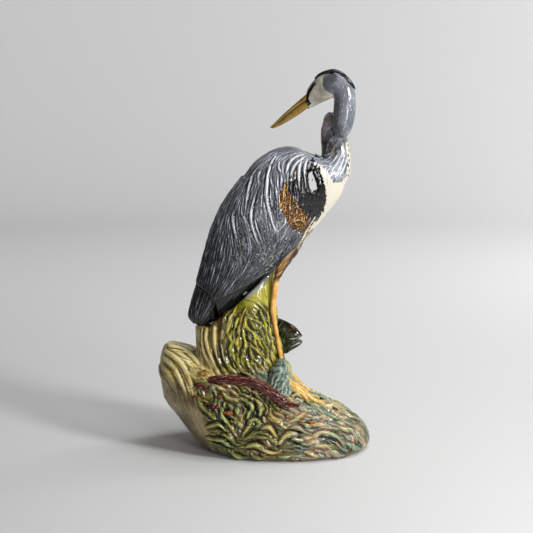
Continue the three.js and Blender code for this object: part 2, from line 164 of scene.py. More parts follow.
# ---- limbs: [x, y, z, radius] ----
THIGH = [
    [82, -41, 585, 27], [68, -45, 545, 24], [50, -47, 508, 16],
    [38, -47, 480, 11], [33, -47, 466, 9],
]
LEG = [
    [32, -47, 465, 8.4], [26, -47, 430, 7.6], [22, -47, 395, 7.8],
    [21.5, -47, 376, 9], [23.8, -47, 356, 7], [29.5, -47, 325, 5.6],
    [37, -47, 280, 5.2], [43, -47, 247, 5.4], [47.5, -47, 214, 6.6],
    [50, -47, 190, 8],
]
FAR_LEG_SHIFT = -6
TOES = [(2, 132, 8.5), (22, 106, 7.5), (-13, 94, 7.5), (176, 62, 7)]
LOG = [
    [-150, -84, 190, 8], [-136, -102, 204, 9.5], [-90, -112, 206, 11.5],
    [-45, -115, 203, 12.5], [-15, -117, 194, 14], [12, -120, 178, 14],
    [36, -124, 161, 13], [58, -129, 147, 9.5], [76, -133, 146, 6],
    [90, -136, 143, 4],
]


# ---- making forms ----
def placed(points):
    """From drawing millimetres to metres in the scene."""
    return (points + PLACE) * MM


def drawn(points):
    """From metres in the scene back to drawing millimetres."""
    return np.array(points) / MM - PLACE


def smooth(rows, steps):
    """Rows on a smooth curve through the given ones, steps for each interval."""
    rows = np.array(rows, float)
    ends = np.vstack([rows[:1], rows, rows[-1:]])
    t = np.linspace(0, 1, steps, endpoint=False)[:, None]
    parts = [0.5 * (2 * b + (c - a) * t + (2 * a - 5 * b + 4 * c - d) * t**2
                    + (3 * b - a - 3 * c + d) * t**3)
             for a, b, c, d in zip(ends, ends[1:], ends[2:], ends[3:])]
    return np.vstack(parts + [rows[-1:]])


def tube(rings):
    """Points and faces of a closed body through rings of points."""
    count, sides = rings.shape[:2]
    one = np.arange(sides)
    two = (one + 1) % sides
    last = (count - 1) * sides
    faces = []
    for a in range(0, last, sides):
        faces += np.stack([a + one, a + two, a + sides + two, a + sides + one], 1).tolist()
    return rings.reshape(-1, 3), faces + [one[::-1].tolist(), (last + one).tolist()]


def loft(rows, sides=96, steps=10, grow=0.0, power=2.0):
    """A body through side-view sections. Power 2 is an ellipse, more is squarer."""
    fine = smooth(rows, steps)
    first, second = fine[:, 0:2], fine[:, 2:4]
    half = np.maximum(np.linalg.norm(second - first, axis=1) / 2, 0.01)[:, None]
    unit = (second - first) / (2 * half)
    turn = np.linspace(0, 2 * math.pi, sides, endpoint=False)
    c, s = (np.sign(v) * np.abs(v) ** (2 / power) for v in (np.cos(turn), np.sin(turn)))
    along = c * np.maximum(half + grow, 0.3)
    across = s * np.maximum(fine[:, 5:6] + grow, 0.3)
    middle = (first + second) / 2
    return tube(np.stack([middle[:, :1] + unit[:, :1] * along, fine[:, 4:5] + across,
                          middle[:, 1:] + unit[:, 1:] * along], -1))


def limb(rows, sides=32, steps=8, wave=lambda k, turn: 0):
    """A round body along [x, y, z, radius]. Wave gives a share of the radius
    for each (row number, angle)."""
    fine = smooth(rows, steps)
    way = np.gradient(fine[:, :3], axis=0)
    way /= np.linalg.norm(way, axis=1)[:, None]
    side = np.array([1.0, 0, 0] if abs(way[0, 1]) > 0.8 else [0, 1.0, 0])
    turn = np.linspace(0, 2 * math.pi, sides, endpoint=False)[:, None]
    rings = []
    for k, (row, ahead) in enumerate(zip(fine, way)):
        side = side - ahead * side.dot(ahead)
        side /= np.linalg.norm(side)
        around = np.cos(turn) * side + np.sin(turn) * np.cross(ahead, side)
        rings.append(row[:3] + row[3] * (1 + wave(k / steps, turn)) * around)
    return tube(np.array(rings))


def ball(x, y, z, r, flat=1.0):
    """A bead, or a lens with its thin way upwards."""
    turns = np.linspace(-1.5, 1.5, 9)
    return limb([[x, y, z + r * flat * math.sin(a), r * math.cos(a)] for a in turns], 24, 3)


def plate(outline, y0, y1):
    """A side-view outline drawn out across the figure."""
    return tube(np.array([[(x, y, z) for x, z in outline] for y in (y0, y1)], float))


def joined(forms):
    """Several forms as one."""
    starts = np.cumsum([0] + [len(at) for at, _ in forms]).tolist()
    faces = [[i + start for i in loop] for start, (_, loops) in zip(starts, forms)
             for loop in loops]
    return np.vstack([at for at, _ in forms]), faces


def mirrored(rows):
    return [[x, -y, z, r] for x, y, z, r in rows]


def solid(name, form):
    """A mesh object from drawn points and faces, its faces turned outwards."""
    mesh = bpy.data.meshes.new(name)
    mesh.from_pydata(placed(form[0]).tolist(), [], form[1])
    tidy = bmesh.new()
    tidy.from_mesh(mesh)
    bmesh.ops.recalc_face_normals(tidy, faces=tidy.faces)
    tidy.to_mesh(mesh)
    tidy.free()
    mesh.shade_smooth()
    thing = bpy.data.objects.new(name, mesh)
    bpy.context.scene.collection.objects.link(thing)
    return thing


def settle(thing):
    """Replaces an object's mesh by what its modifiers make of it."""
    graph = bpy.context.evaluated_depsgraph_get()
    mesh = bpy.data.meshes.new_from_object(thing.evaluated_get(graph))
    thing.modifiers.clear()
    thing.data = mesh
    return mesh


def column(items, name, width=3, kind=float):
    """What a mesh holds for each of its points or edges, as rows."""
    rows = np.empty(len(items) * width, kind)
    items.foreach_get(name, rows)
    return rows.reshape(-1, width)


def carved(form, *cuts):
    """A form cut by others, each given as (how, form)."""
    thing = solid("carved", form)
    tools = []
    for how, tool in cuts:
        tools.append(solid("tool", tool))
        cut = thing.modifiers.new("cut", "BOOLEAN")
        cut.operation = how
        cut.object = tools[-1]
        cut.solver = "MANIFOLD"
    mesh = settle(thing)
    result = drawn(column(mesh.vertices, "co")), [list(p.vertices) for p in mesh.polygons]
    for used in tools + [thing]:
        bpy.data.objects.remove(used)
    return result


def wing(side):
    """A folded wing: a shell over the flank, cut to the wing's outline."""
    span = (WING_SPLIT, 200) if side > 0 else (-200, -WING_SPLIT)
    return carved(loft(WING_FORM, grow=WING_PROUD),
                  ("INTERSECT", plate(WING_EDGE, *span)),
                  ("DIFFERENCE", loft(WING_FORM, grow=-WING_DEPTH)))


# ---- fields over a surface ----
def ease(x, a, b):
    """A smooth rise from 0 at a to 1 at b."""
    t = np.clip((x - a) / (b - a), 0, 1)
    return t * t * (3 - 2 * t)


def inside(outline, x, z):
    """Distance in mm to an outline in the side view, more than 0 inside it."""
    a = np.array(outline, float)
    p = np.stack([x, z], -1)
    away = np.full(len(p), 1e9)
    odd = np.zeros(len(p), bool)
    for (ax, az), (bx, bz) in zip(a, np.roll(a, -1, 0)):
        edge = np.array([bx - ax, bz - az])
        t = ((p - [ax, az]) @ edge / edge.dot(edge)).clip(0, 1)
        away = np.minimum(away, np.linalg.norm(p - [ax, az] - t[:, None] * edge, axis=1))
        if bz != az:
            odd ^= ((az > z) != (bz > z)) & (x < ax + (z - az) / (bz - az) * (bx - ax))
    return np.where(odd, away, -away)


def soft(distance, reach=12.0):
    """0.5 on an outline, 1 well inside it and 0 well outside."""
    return np.clip(0.5 + distance / (2 * reach), 0, 1)


def lumps(p, size, seed=0):
    """Smooth random value from 0 to 1 at each point, with lumps of size mm."""
    q = np.asarray(p) / size
    base = np.floor(q).astype(np.int64)
    f = q - base
    f = f * f * (3 - 2 * f)
    total = np.zeros(len(q))
    for corner in np.ndindex(2, 2, 2):
        n = (base + corner) @ (374761393, 668265263, 69069069) + seed * 144665
        n = ((n ^ (n >> 13)) * 1274126177) & 0xFFFFFFFF
        value = ((n ^ (n >> 16)) & 0xFFFF) / 65535
        total += np.where(corner, f, 1 - f).prod(1) * value
    return total


def pick(span):
    """A size as it is given, or a random one between two."""
    return RANDOM.uniform(*span) if isinstance(span, tuple) else span


class Lie:
    """The way that feathers, leaves or bark run, from lines in the side view."""

    def __init__(self, outlines, blend=60.0):
        lines = [smooth(outline, 3) for outline in outlines]
        self.middle = np.vstack([(a[1:] + a[:-1]) / 2 for a in lines])
        self.way = np.vstack([a[1:] - a[:-1] for a in lines])
        self.blend = blend

    def __call__(self, spot, normal=None, share=0):
        away = (spot[0] - self.middle[:, 0]) ** 2 + (spot[2] - self.middle[:, 1]) ** 2
        x, z = (1 / (away + self.blend) ** 1.6) @ self.way
        return np.array([x, 0, z]) / math.hypot(x, z)


class Skin:
    """One surface fused from forms, with what is modelled and painted on it."""

    def __init__(self, name, forms, voxel):
        self.thing = solid(name, joined(forms))
        fuse = self.thing.modifiers.new("fuse", "REMESH")
        fuse.mode = "VOXEL"
        fuse.voxel_size = voxel * MM
        mesh = settle(self.thing)
        self.count = len(mesh.vertices)
        self.ends = column(mesh.edges, "vertices", 2, np.int32).T
        self.degree = np.bincount(self.ends.ravel(), minlength=self.count)
        self.at = self.spread(drawn(column(mesh.vertices, "co")), 3)
        self.all = np.ones(self.count, bool)
        self.high = np.zeros(self.count)
        self.deep = np.zeros(self.count)
        self.paint = defaultdict(lambda: np.zeros(self.count))
        self.write()

    def write(self):
        """Puts the points into the mesh and reads the new normals back."""
        mesh = self.thing.data
        mesh.vertices.foreach_set("co", placed(self.at).ravel())
        mesh.update()
        self.out = column(mesh.vertices, "normal")
        self.order = np.argsort(self.at[:, 2])
        self.levels = self.at[self.order, 2]
        graph = bpy.context.evaluated_depsgraph_get()
        self.tree = BVHTree.FromObject(self.thing, graph)

    def spread(self, values, times):
        """Each value moved to the mean of its neighbours, several times."""
        a, b = self.ends
        flat = values.reshape(self.count, -1)
        for _ in range(times):
            flat = np.stack([
                (np.bincount(a, c[b], self.count) + np.bincount(b, c[a], self.count))
                / self.degree for c in flat.T], 1)
        return flat.reshape(values.shape)

    def near(self, path, reach):
        """Points within reach of a path: their numbers, distance, and share
        of the way along it."""
        low, high = path.min(0) - reach, path.max(0) + reach
        first, last = np.searchsorted(self.levels, [low[2], high[2]])
        some = self.order[first:last]
        some = some[((self.at[some] >= low) & (self.at[some] <= high)).all(1)]
        p = self.at[some][:, None]
        step = path[1:] - path[:-1]
        t = (((p - path[:-1]) * step).sum(2)
             / np.maximum((step * step).sum(1), 1e-6)).clip(0, 1)
        gaps = np.linalg.norm(p - path[:-1] - t[..., None] * step, axis=2)
        k = gaps.argmin(1)
        row = np.arange(len(some))
        keep = gaps[row, k] < reach
        along = (k + t[row, k]) / len(step)
        return some[keep], gaps[row, k][keep], along[keep]

    def ridge(self, path, width, height, tips=(0.6, 0.6), moat=0.35, marks=()):
        """Raises a rounded ridge along a path, with a groove at its foot."""
        some, gap, along = self.near(path, width * 1.1)
        taper = (np.clip(along / 0.5, 0, 1) ** tips[0]
                 * np.clip((1 - along) / 0.5, 0, 1) ** tips[1])
        u = gap / (width / 2 * np.maximum(0.25 + 0.75 * taper, 0.05))
        lift = height * taper * np.exp(-1.9 * u * u)
        on_top = lift > self.high[some]
        self.high[some] = np.maximum(self.high[some], lift)
        foot = moat * height * taper * np.exp(-(((u - 1.45) / 0.42) ** 2))
        self.deep[some] = np.maximum(self.deep[some], foot)
        for name, value in marks:
            self.paint[name][some[on_top & (u < 1.25)]] = value

    def dab(self, path, width, name, tips=(0.5, 0.5), wipe=False):
        """A brush mark along a path, 1 along its middle and 0.5 at its edge.
        A wipe takes paint away instead."""
        some, gap, along = self.near(path, width * 1.2)
        taper = (np.clip(along / 0.3, 0, 1) ** tips[0]
                 * np.clip((1 - along) / 0.3, 0, 1) ** tips[1])
        mark = 1 - 0.5 * gap / (width / 2 * np.maximum(taper, 0.1))
        paint = self.paint[name]
        paint[some] = (np.minimum(paint[some], 1 - mark) if wipe
                       else np.maximum(paint[some], mark))

    def onto(self, x, z, side):
        """Where a line across the figure first meets the surface from a side."""
        start = Vector(placed(np.array([x, side * 400.0, z])))
        hit = self.tree.ray_cast(start, Vector((0, -side, 0)))[0]
        return None if hit is None else drawn(hit)

    def across(self, outline, side, steps=5):
        """A side-view line laid on one side of the figure."""
        spots = [self.onto(x, z, side) for x, z in smooth(outline, steps)]
        return np.array([s for s in spots if s is not None])

    def follow(self, start, heading, length, step=5.0):
        """A path over the surface, its way at each step given by heading."""
        spot = np.array(start, float)
        path = []
        for k in range(max(2, int(length / step)) + 1):
            hit, normal, _, _ = self.tree.find_nearest(Vector(placed(spot)))
            spot, normal = drawn(hit), np.array(normal)
            path.append(spot)
            way = heading(spot, normal, k * step / length)
            way = way - normal * way.dot(normal)
            size = np.linalg.norm(way)
            if size < 0.05:
                break
            spot = spot + way / size * step
        path = np.array(path)
        for _ in range(2):
            path[1:-1] = (path[:-2] + 2 * path[1:-1] + path[2:]) / 4
        return path

    def strew(self, places, count, way, length, width, height, moat=0.8, tips=(0.6, 0.6),
              step=4.0, least=3, marks=None):
        """Ridges from random places, each on a heading that way() gives it."""
        for k in RANDOM.choice(np.flatnonzero(places), count, replace=False):
            path = self.follow(self.at[k], way(), pick(length), step)
            if len(path) >= least:
                painted = marks(k) if marks else ()
                self.ridge(path, pick(width), pick(height), tips, moat, painted)

    def finish(self, blur=8, **numbers):
        """Moves the points out by what was modelled, and stores the numbers
        that the glazes read."""
        relief = self.high - self.deep
        self.at = self.at + self.out * relief[:, None]
        self.write()
        if blur:
            relief = relief - 0.6 * self.spread(relief, blur)
        for name, values in {**self.paint, "relief": relief, **numbers}.items():
            layer = self.thing.data.attributes.new(name, "FLOAT", "POINT")
            layer.data.foreach_set("value", values.astype(np.float32))
        self.thing.data.shade_smooth()
        return self.thing


# ---- the bird: one skin from bill to tail, feathers moulded in low relief ----
# Raised plumes, seen from the side: [outline], width, height.
PLUMES = [
    ([(31, 784), (12, 752), (4, 692), (12, 640), (34, 572)], 6.5, 3.6),
    ([(1, 766), (-30, 733), (-46, 675), (-47, 630)], 6, 3.2),
    ([(-6, 751), (-16, 732), (-16, 708)], 5, 2.2),
    ([(-79, 641), (-82, 615), (-64, 534)], 5.5, 2.8),
    ([(-25, 681), (-36, 630), (-23, 576), (-10, 552)], 6, 3.2),
    ([(-27, 626), (-20, 596), (-4, 555)], 5, 2.6),
    ([(-59, 637), (-45, 608)], 4.5, 2.2),
    ([(18, 752), (14, 725), (25, 697)], 4.5, 2),
    ([(37, 768), (36, 750), (46, 738)], 4.5, 2),
    ([(27, 710), (31, 673)], 4.5, 2.2),
    ([(43, 736), (41, 692)], 4.5, 2.2),
    ([(101, 784), (77, 778), (58, 756), (57, 712)], 5.5, 2.8),
    ([(101, 778), (77, 760), (66, 730), (65, 667)], 5.5, 2.8),
    ([(95, 773), (87, 751), (87, 712), (91, 684)], 5, 2.6),
    ([(109, 773), (101, 751), (103, 719), (110, 661)], 5, 2.6),
    ([(53, 630), (52, 612), (40, 597)], 4, 1.8),
    ([(-62, 530), (-62, 492)], 4, 1.8),
]
# The collar, where the neck runs into the breast.
COLLAR = [
    ([(214, 778), (205, 750), (190, 724)], 6, 2.0), ([(208, 786), (197, 757), (181, 732)], 6, 2.2),
    ([(200, 790), (188, 764), (171, 742)], 6, 2.0), ([(191, 790), (178, 768), (161, 752)], 5, 1.8),
    ([(219, 760), (212, 738), (200, 718)], 5, 1.6), ([(181, 788), (166, 774), (148, 764)], 5, 1.6),
    ([(203, 776), (195, 744), (178, 722)], 5, 1.6), ([(172, 786), (154, 780), (134, 776)], 5, 1.4),
]
# How the feathers lie where no plume shows it.
LIES = [outline for outline, _, _ in PLUMES + COLLAR] + [
    [(99, 801), (19, 787), (-59, 717), (-121, 630), (-157, 528)],
    [(-157, 528), (-180, 440), (-202, 350)],
    [(-110, 600), (-130, 500), (-165, 390)],
    [(-60, 500), (-90, 440), (-130, 380)],
    [(100, 600), (60, 545), (10, 490), (-60, 430), (-120, 370)],
    [(30, 570), (-10, 510), (-70, 450)],
    [(150, 730), (155, 680), (130, 620), (90, 560)],
    [(205, 730), (198, 671), (160, 620), (106, 556)],
    [(215, 960), (225, 920), (222, 870), (200, 835)],
    [(150, 965), (180, 950), (187, 900), (185, 850)],
    [(170, 885), (152, 850), (150, 800), (150, 770)],
    [(205, 850), (212, 800), (216, 750)],
    [(108, 940), (130, 950), (160, 975)],
    [(112, 910), (140, 920), (170, 935)],
]
BLACK_SHOULDER = [(116, 766), (128, 756), (140, 736), (147, 716), (150, 690),
                  (153, 666), (147, 636), (132, 616), (116, 618), (100, 646), (88, 664),
                  (84, 680), (70, 690), (62, 704), (66, 722), (84, 732), (101, 732)]
OCHRE_WING = [(46, 716), (58, 712), (62, 686), (84, 668), (98, 650), (112, 628),
              (116, 600), (104, 584), (84, 586), (66, 600), (56, 622), (39, 655),
              (36, 676)]
FLECKED = [(-70, 640), (-30, 660), (44, 650), (66, 590), (70, 545), (10, 486),
           (-40, 470), (-80, 520)]
CREAM_BREAST = [(120, 772), (146, 754), (164, 734), (176, 712), (198, 712),
                (213, 728), (216, 756), (213, 784), (210, 812), (300, 822), (300, 560),
                (88, 528), (84, 545), (124, 617), (154, 668), (145, 734)]
CREAM_FACE = [(90, 880), (100, 936), (116, 962), (130, 984), (149, 986),
              (146, 962), (151, 948), (162, 940), (174, 936), (180, 924),
              (168, 900), (120, 880)]
CHEEK = [(170, 978), (162, 968), (160, 954), (172, 942), (181, 922), (181, 898),
         (179, 872), (182, 850)]
CROWN = [(130, 982), (150, 987), (166, 988), (186, 985), (202, 978), (214, 966),
         (225, 952), (245, 946), (240, 1020), (120, 1020)]
QUILLS = [(14, 478), (-41, 426), (-91, 381), (-120, 350), (-133, 355),
          (-128, 404), (-94, 421), (-44, 446), (2, 476)]


def pressed(skin, share):
    """Presses places on both sides of a skin towards their own plane."""
    for side in (-1, 1):
        some = np.flatnonzero((share > 0) & (side * skin.at[:, 1] > 20))
        x, y, z = skin.at[some].T
        plane = np.stack([x, z, np.ones(len(some))], 1)
        flat = plane @ np.linalg.lstsq(plane, y, rcond=None)[0]
        skin.at[some, 1] += share[some] * (flat - y)
    skin.write()


def make_bird():
    """The whole bird but bill, crest, eyes, legs and feet, as one skin."""
    skin = Skin("plumage", [
        loft(TRUNK, 120, 12), wing(-1), wing(1), loft(TAIL, 96, 8), loft(HEAD, 72, 8),
        loft(NECK_UPPER, 72, 8), loft(NECK_LOWER, 72, 8), limb(NECK_BEND, 40, 8),
        limb(THIGH, 40, 8), limb(mirrored(THIGH), 40, 8)], 1.75)
    x, y, z = skin.at.T
    patch = inside(BLACK_SHOULDER, x, z)
    pressed(skin, 0.6 * ease(patch, -4, 18) * ease(z, 672, 704) * ease(-z, -758, -738))
    body = z < 792
    feathers = Lie(LIES)

    def strokes(places, count, width, height, length, shades, stray=None, flecks=0.0):
        """Short raised brush marks, each with its own shade of the glaze."""
        def way():
            if stray is None:
                return feathers
            turn = RANDOM.normal(0, stray)
            c, s = math.cos(turn), math.sin(turn)

            def askew(spot, normal, share):
                ahead = feathers(spot)
                return np.array([ahead[0] * c - ahead[2] * s, 0, ahead[0] * s + ahead[2] * c])
            return askew

        def marks(k):
            return [("stroke", RANDOM.normal(0, shades)),
                    ("fleck", float(RANDOM.uniform() < flecks))]
        skin.strew(places, count, way, length, width, height, marks=marks)

    # Small feathers, thickest on the back and flanks.
    grown = body & (z > 330)
    strokes(grown & (x < 165), 1500, (4.0, 5.6), (0.8, 1.9), (14, 40), 1.0)
    strokes(grown & (x < 20 - 0.5 * (640 - z)), 1500, (3.6, 5.2), (1.1, 2.6), (26, 80), 1.8)
    strokes(inside(FLECKED, x, z) > 0, 700, (3.6, 5.2), (0.8, 1.8), (8, 22), 2.2, 0.8, 0.16)
    strokes(~body & ((z <= 890) | (x >= 170)), 420, (3.0, 5.0), (0.3, 0.9), (8, 22), 0.7,
            0.3, 0.10)
    strokes((y > -8) & (z > 785) & (z < 885) & (x < 196), 190, (3.4, 4.6), (0.7, 1.5),
            (10, 26), 2.4, 0.25, 0.35)
    for side in (-1, 1):
        for outline, width, height in PLUMES:
            skin.ridge(skin.across(outline, side), width * 1.6, height * 1.15, (0.35, 0.6),
                       0.9, [("plume", 1.0)])
        for outline, width, height in COLLAR:
            skin.ridge(skin.across(outline, side), width, height, (0.7, 0.7), 0.3,
                       [("plume", 0.8)])
    strokes((np.hypot(x - 186, z - 745) < 40) & (z > 716) & (x > 140), 90, (2.8, 4.6),
            (0.6, 1.6), (10, 26), 1.8, 0.25)

    # The ochre patch is scratched every way.
    strokes(inside(OCHRE_WING, x, z) > 2, 300, (3.8, 5.2), (1.2, 2.4), (8, 18), 2.2, 1.6, 0.1)

    # The black patch is sleek above and combed below.
    strokes((patch > 0) & (z < 700), 110, (4.0, 6.0), (1.2, 2.2), (14, 34), 1.0, 0.2)
    sleek = ease(patch, 2, 9) * ease(z, 686, 700) * ease(x, 106, 114)
    skin.high *= 1 - 0.9 * sleek
    skin.deep *= 1 - 0.97 * sleek

    # Brown streaks run down the thighs.
    thigh = ease(x - 0.93 * (z - 497), 30, 38) * ease(-z, -598, -580) * (x > 26)
    strokes(thigh > 0.5, 120, (3.0, 4.6), (0.6, 1.6), (14, 36), 2.8, 0.12)

    # The long quills lie smooth, a step below the feathers that cover them.
    calm = ease(inside(QUILLS, x, z) * (np.abs(y) > 20), -2, 2)
    skin.high *= 1 - 0.8 * calm
    skin.deep = skin.deep * (1 - 0.8 * calm) + 2.6 * calm
    strokes(calm > 0.6, 90, (3.6, 4.8), (0.8, 1.5), (30, 70), 1.6)
    hem = [(80, 545), (26, 492), (14, 478), (2, 476), (-44, 446), (-94, 421), (-126, 404)]
    for side in (-1, 1):
        skin.ridge(skin.across(hem, side), 4.0, 1.4, (0.2, 0.2), 0.4, [("stroke", -1.4)])

    # Painted places.
    # the cream of the head, which the glaze greys there with a painted shade
    face = inside(CREAM_FACE, x, z)
    skin.paint["black"] = soft(np.maximum(patch, inside(CROWN, x, z)))
    skin.paint["ochre"] = soft(inside(OCHRE_WING, x, z))
    skin.paint["cream"] = soft(np.maximum(inside(CREAM_BREAST, x, z), face))

    def streak(ends, width, wipe=False):
        """A black brush stroke on both sides."""
        for side in (-1, 1):
            stroke = skin.across(ends, side, 3)
            if len(stroke) > 1:
                skin.dab(stroke, pick(width), "black", (1, 1), wipe)

    # Brush strokes break the edges of the black, and cream ones run back into it.
    edge = smooth(BLACK_SHOULDER + BLACK_SHOULDER[:1], 6)
    for n, k in enumerate(RANDOM.choice(len(edge), 90, replace=False)):
        cx, cz = edge[k]
        ahead = feathers((cx, 0, cz))[[0, 2]] * RANDOM.uniform(6, 16)
        lean = RANDOM.uniform(-4, 4)
        streak([edge[k] - ahead, (cx + lean, cz), edge[k] + ahead + [lean, 0]], (3.5, 6.0),
               n % 3 == 0)
    for share in np.linspace(0, 1, 26):
        cx, cz = 154 - 70 * share, 664 - 126 * share
        reach = RANDOM.uniform(5, 12)
        streak([(cx + 5, cz + reach * 0.4), (cx, cz - reach * 0.6),
                (cx - 6, cz - reach * 1.4)], (2.4, 3.8))
    for cx, cz in smooth([(130, 752), (143, 730), (150, 700), (153, 668), (147, 640)], 6):
        reach = RANDOM.uniform(4, 12)
        streak([(cx - 6, cz + 5), (cx, cz), (cx + 0.8 * reach, cz - 0.7 * reach)], (3.2, 5.0))
    for side in (-1, 1):
        mask = skin.across([(129, 968), (122, 957), (113, 942), (109, 930), (109, 921),
                            (114, 914), (120, 914)], side, 6)
        gape = skin.across([(112, 918), (113, 911), (111, 906)], side, 6)
        skin.dab(mask, 9.5, "black", (0.15, 0.4))
        skin.dab(gape, 6, "black", (0.3, 0.3))
        # the eye looks out of a raised rim
        rim = [skin.onto(EYE[0] + 5.8 * math.cos(a), EYE[2] + 5.8 * math.sin(a), side)
               for a in np.linspace(0, 2 * math.pi, 17)]
        skin.ridge(np.array(rim), 3.0, 1.3, (0.01, 0.01), 0.1)
        for bit in ([(66, 738), (68, 706)], [(80, 750), (81, 716)], [(50, 700), (46, 640)]):
            skin.dab(skin.across(bit, side, 4), 7, "ochre")
        for k in range(7):
            down = 810 - 13 * k
            dash = skin.across([(216 + k % 2 * 3, down), (218 + k % 2 * 2, down - 10)], side, 3)
            if len(dash) > 1:
                skin.dab(dash, 5.5, "black")

    # Tone of the grey, 0 white to 1 black. It darkens lower down and towards the tail, partly the
    # plumage's own grey and partly painted shade.
    low_neck = ease(z, 772, 812)
    tone = (0.34 + 0.11 * ease(-z, -790, -700) + 0.05 * ease(-x, 0, 60) * body
            + 0.16 * ease(-z, -620, -555) + 0.17 * ease(-z, -510, -400)
            + 0.06 * ease(-z, -560, -500))
    tone = np.where(calm > 0.5, 0.92, tone) * (1 - low_neck)
    tone += low_neck * (0.38 + 0.01 * ease(-x, -216, -186) + 0.10 * lumps(skin.at, 15.0, 2))
    kink = (ease(-x - 0.25 * (z - 800), -200, -180) * ease(z, 772, 806)
            * ease(-z, -895, -885) * (y > -12))
    tone -= 0.31 * kink
    tone += 0.42 * kink * ease(-z, -850, -815) * lumps(skin.at, 6.0, 8)
    # paler round the collar: partly pale glaze and partly a painted highlight
    tone -= 0.12 * ease(-np.hypot(x - 186, z - 740), -34, -12)
    # a dark stripe down the cheek and the left edge of the neck, partly dark glaze and partly
    # painted shade
    for side in (-1, 1):
        some, gap, along = skin.near(skin.across(CHEEK, side), 22)
        tone[some] += ease(22 - gap, 0, 15) * (0.21 - 0.12 * ease(along, 0.3, 0.6))
    throat = ease(-np.hypot((x - 174) / 1.2, z - 797), -30, -13)
    tone += 0.30 * throat * ease(lumps(skin.at, 7.0, 9), 0.15, 0.7)
    tone = np.where(thigh > 0.5, 0.22 + 0.30 * lumps(skin.at, 8.0)
                    + 0.8 * ease(x - 0.57 * (z - 463), 27, 43), tone)
    brown = np.maximum(0.6 * kink, 0.28 * throat) * ease(lumps(skin.at, 7.0, 6), 0.3, 0.75)
    return skin.finish(12, tone=tone, brown=np.maximum(brown, thigh), face=soft(face))


# ---- the ground: mound, stump and root, with grass and bark in high relief ----
# Leaves on the stump, seen from the side.
LEAVES = [
    [(-62, 408), (-80, 376), (-88, 333), (-85, 274), (-66, 230), (-44, 215)],
    [(-48, 388), (-62, 360), (-66, 326), (-59, 274), (-37, 237)],
    [(-52, 412), (-22, 402), (2, 376), (16, 346)],
    [(-55, 366), (-15, 348), (11, 315), (22, 289)],
    [(-55, 333), (-22, 318), (0, 289), (18, 259)],
    [(-48, 300), (-22, 276), (0, 252)],
    [(18, 465), (-4, 389)], [(-10, 450), (-30, 400)],
]
# Where grey glaze ran down from the belly over the top of the stump.
BELLY = [(-48, 412), (-42, 432), (-25, 452), (0, 472), (20, 484), (15, 463), (-3, 441),
         (-20, 427)]
# Folds of the bark: four on the stump, four on the root, two down to the mound.
FOLDS = [
    [(-172, 330), (-172, 285), (-150, 250), (-134, 224)],
    [(-152, 330), (-154, 298), (-136, 248), (-118, 214)],
    [(-130, 345), (-131, 300), (-120, 250), (-98, 214)],
    [(-106, 362), (-112, 302), (-104, 250), (-74, 216)],
    [(-262, 276), (-225, 270), (-188, 252), (-158, 222)],
    [(-266, 262), (-236, 250), (-210, 226), (-188, 186)],
    [(-270, 244), (-244, 228), (-220, 198), (-202, 158)],
    [(-274, 222), (-250, 200), (-228, 166)],
    [(-271, 200), (-248, 123), (-180, 24)], [(-232, 176), (-200, 98), (-150, 8)],
]
# How the long grass sweeps down the mound.
SWEEPS = [
    [(-72, 169), (-41, 148), (-36, 133), (-59, 91)], [(-59, 67), (-36, 103), (-28, 118)],
    [(-26, 162), (-10, 135), (-18, 112)], [(-156, 82), (-114, 96), (-80, 58)],
    [(-154, 52), (-106, 52), (-88, 35)], [(37, 46), (48, 67), (73, 76), (104, 63)],
    [(115, 57), (143, 73), (185, 58), (220, 19)], [(178, 78), (224, 66), (245, 38)],
    [(-13, 86), (12, 91), (32, 62)], [(-119, 149), (-103, 108), (-85, 76)],
    [(-54, 39), (-21, 46), (14, 25)], [(93, 149), (152, 126), (227, 89)],
]


def slopes(normal):
    """The level way and the uphill way on a surface."""
    level = np.cross((0, 0, 1), normal) if abs(normal[2]) < 0.97 else np.array([1.0, 0, 0])
    level = level / np.linalg.norm(level)
    return level, np.cross(normal, level)


def swirl(own, bend, lie=None):
    """The way of a grass blade: tufts turn together, and each blade curls."""
    def way(spot, normal, share):
        level, up = slopes(normal)
        turn = own + bend * (share - 0.4)
        if lie:
            main = lie(spot)
            turn += math.atan2(main.dot(up), main.dot(level))
        else:
            turn += 9.0 * lumps(spot[None] + 500, 85.0, 3)[0]
        return math.cos(turn) * level + math.sin(turn) * up
    return way


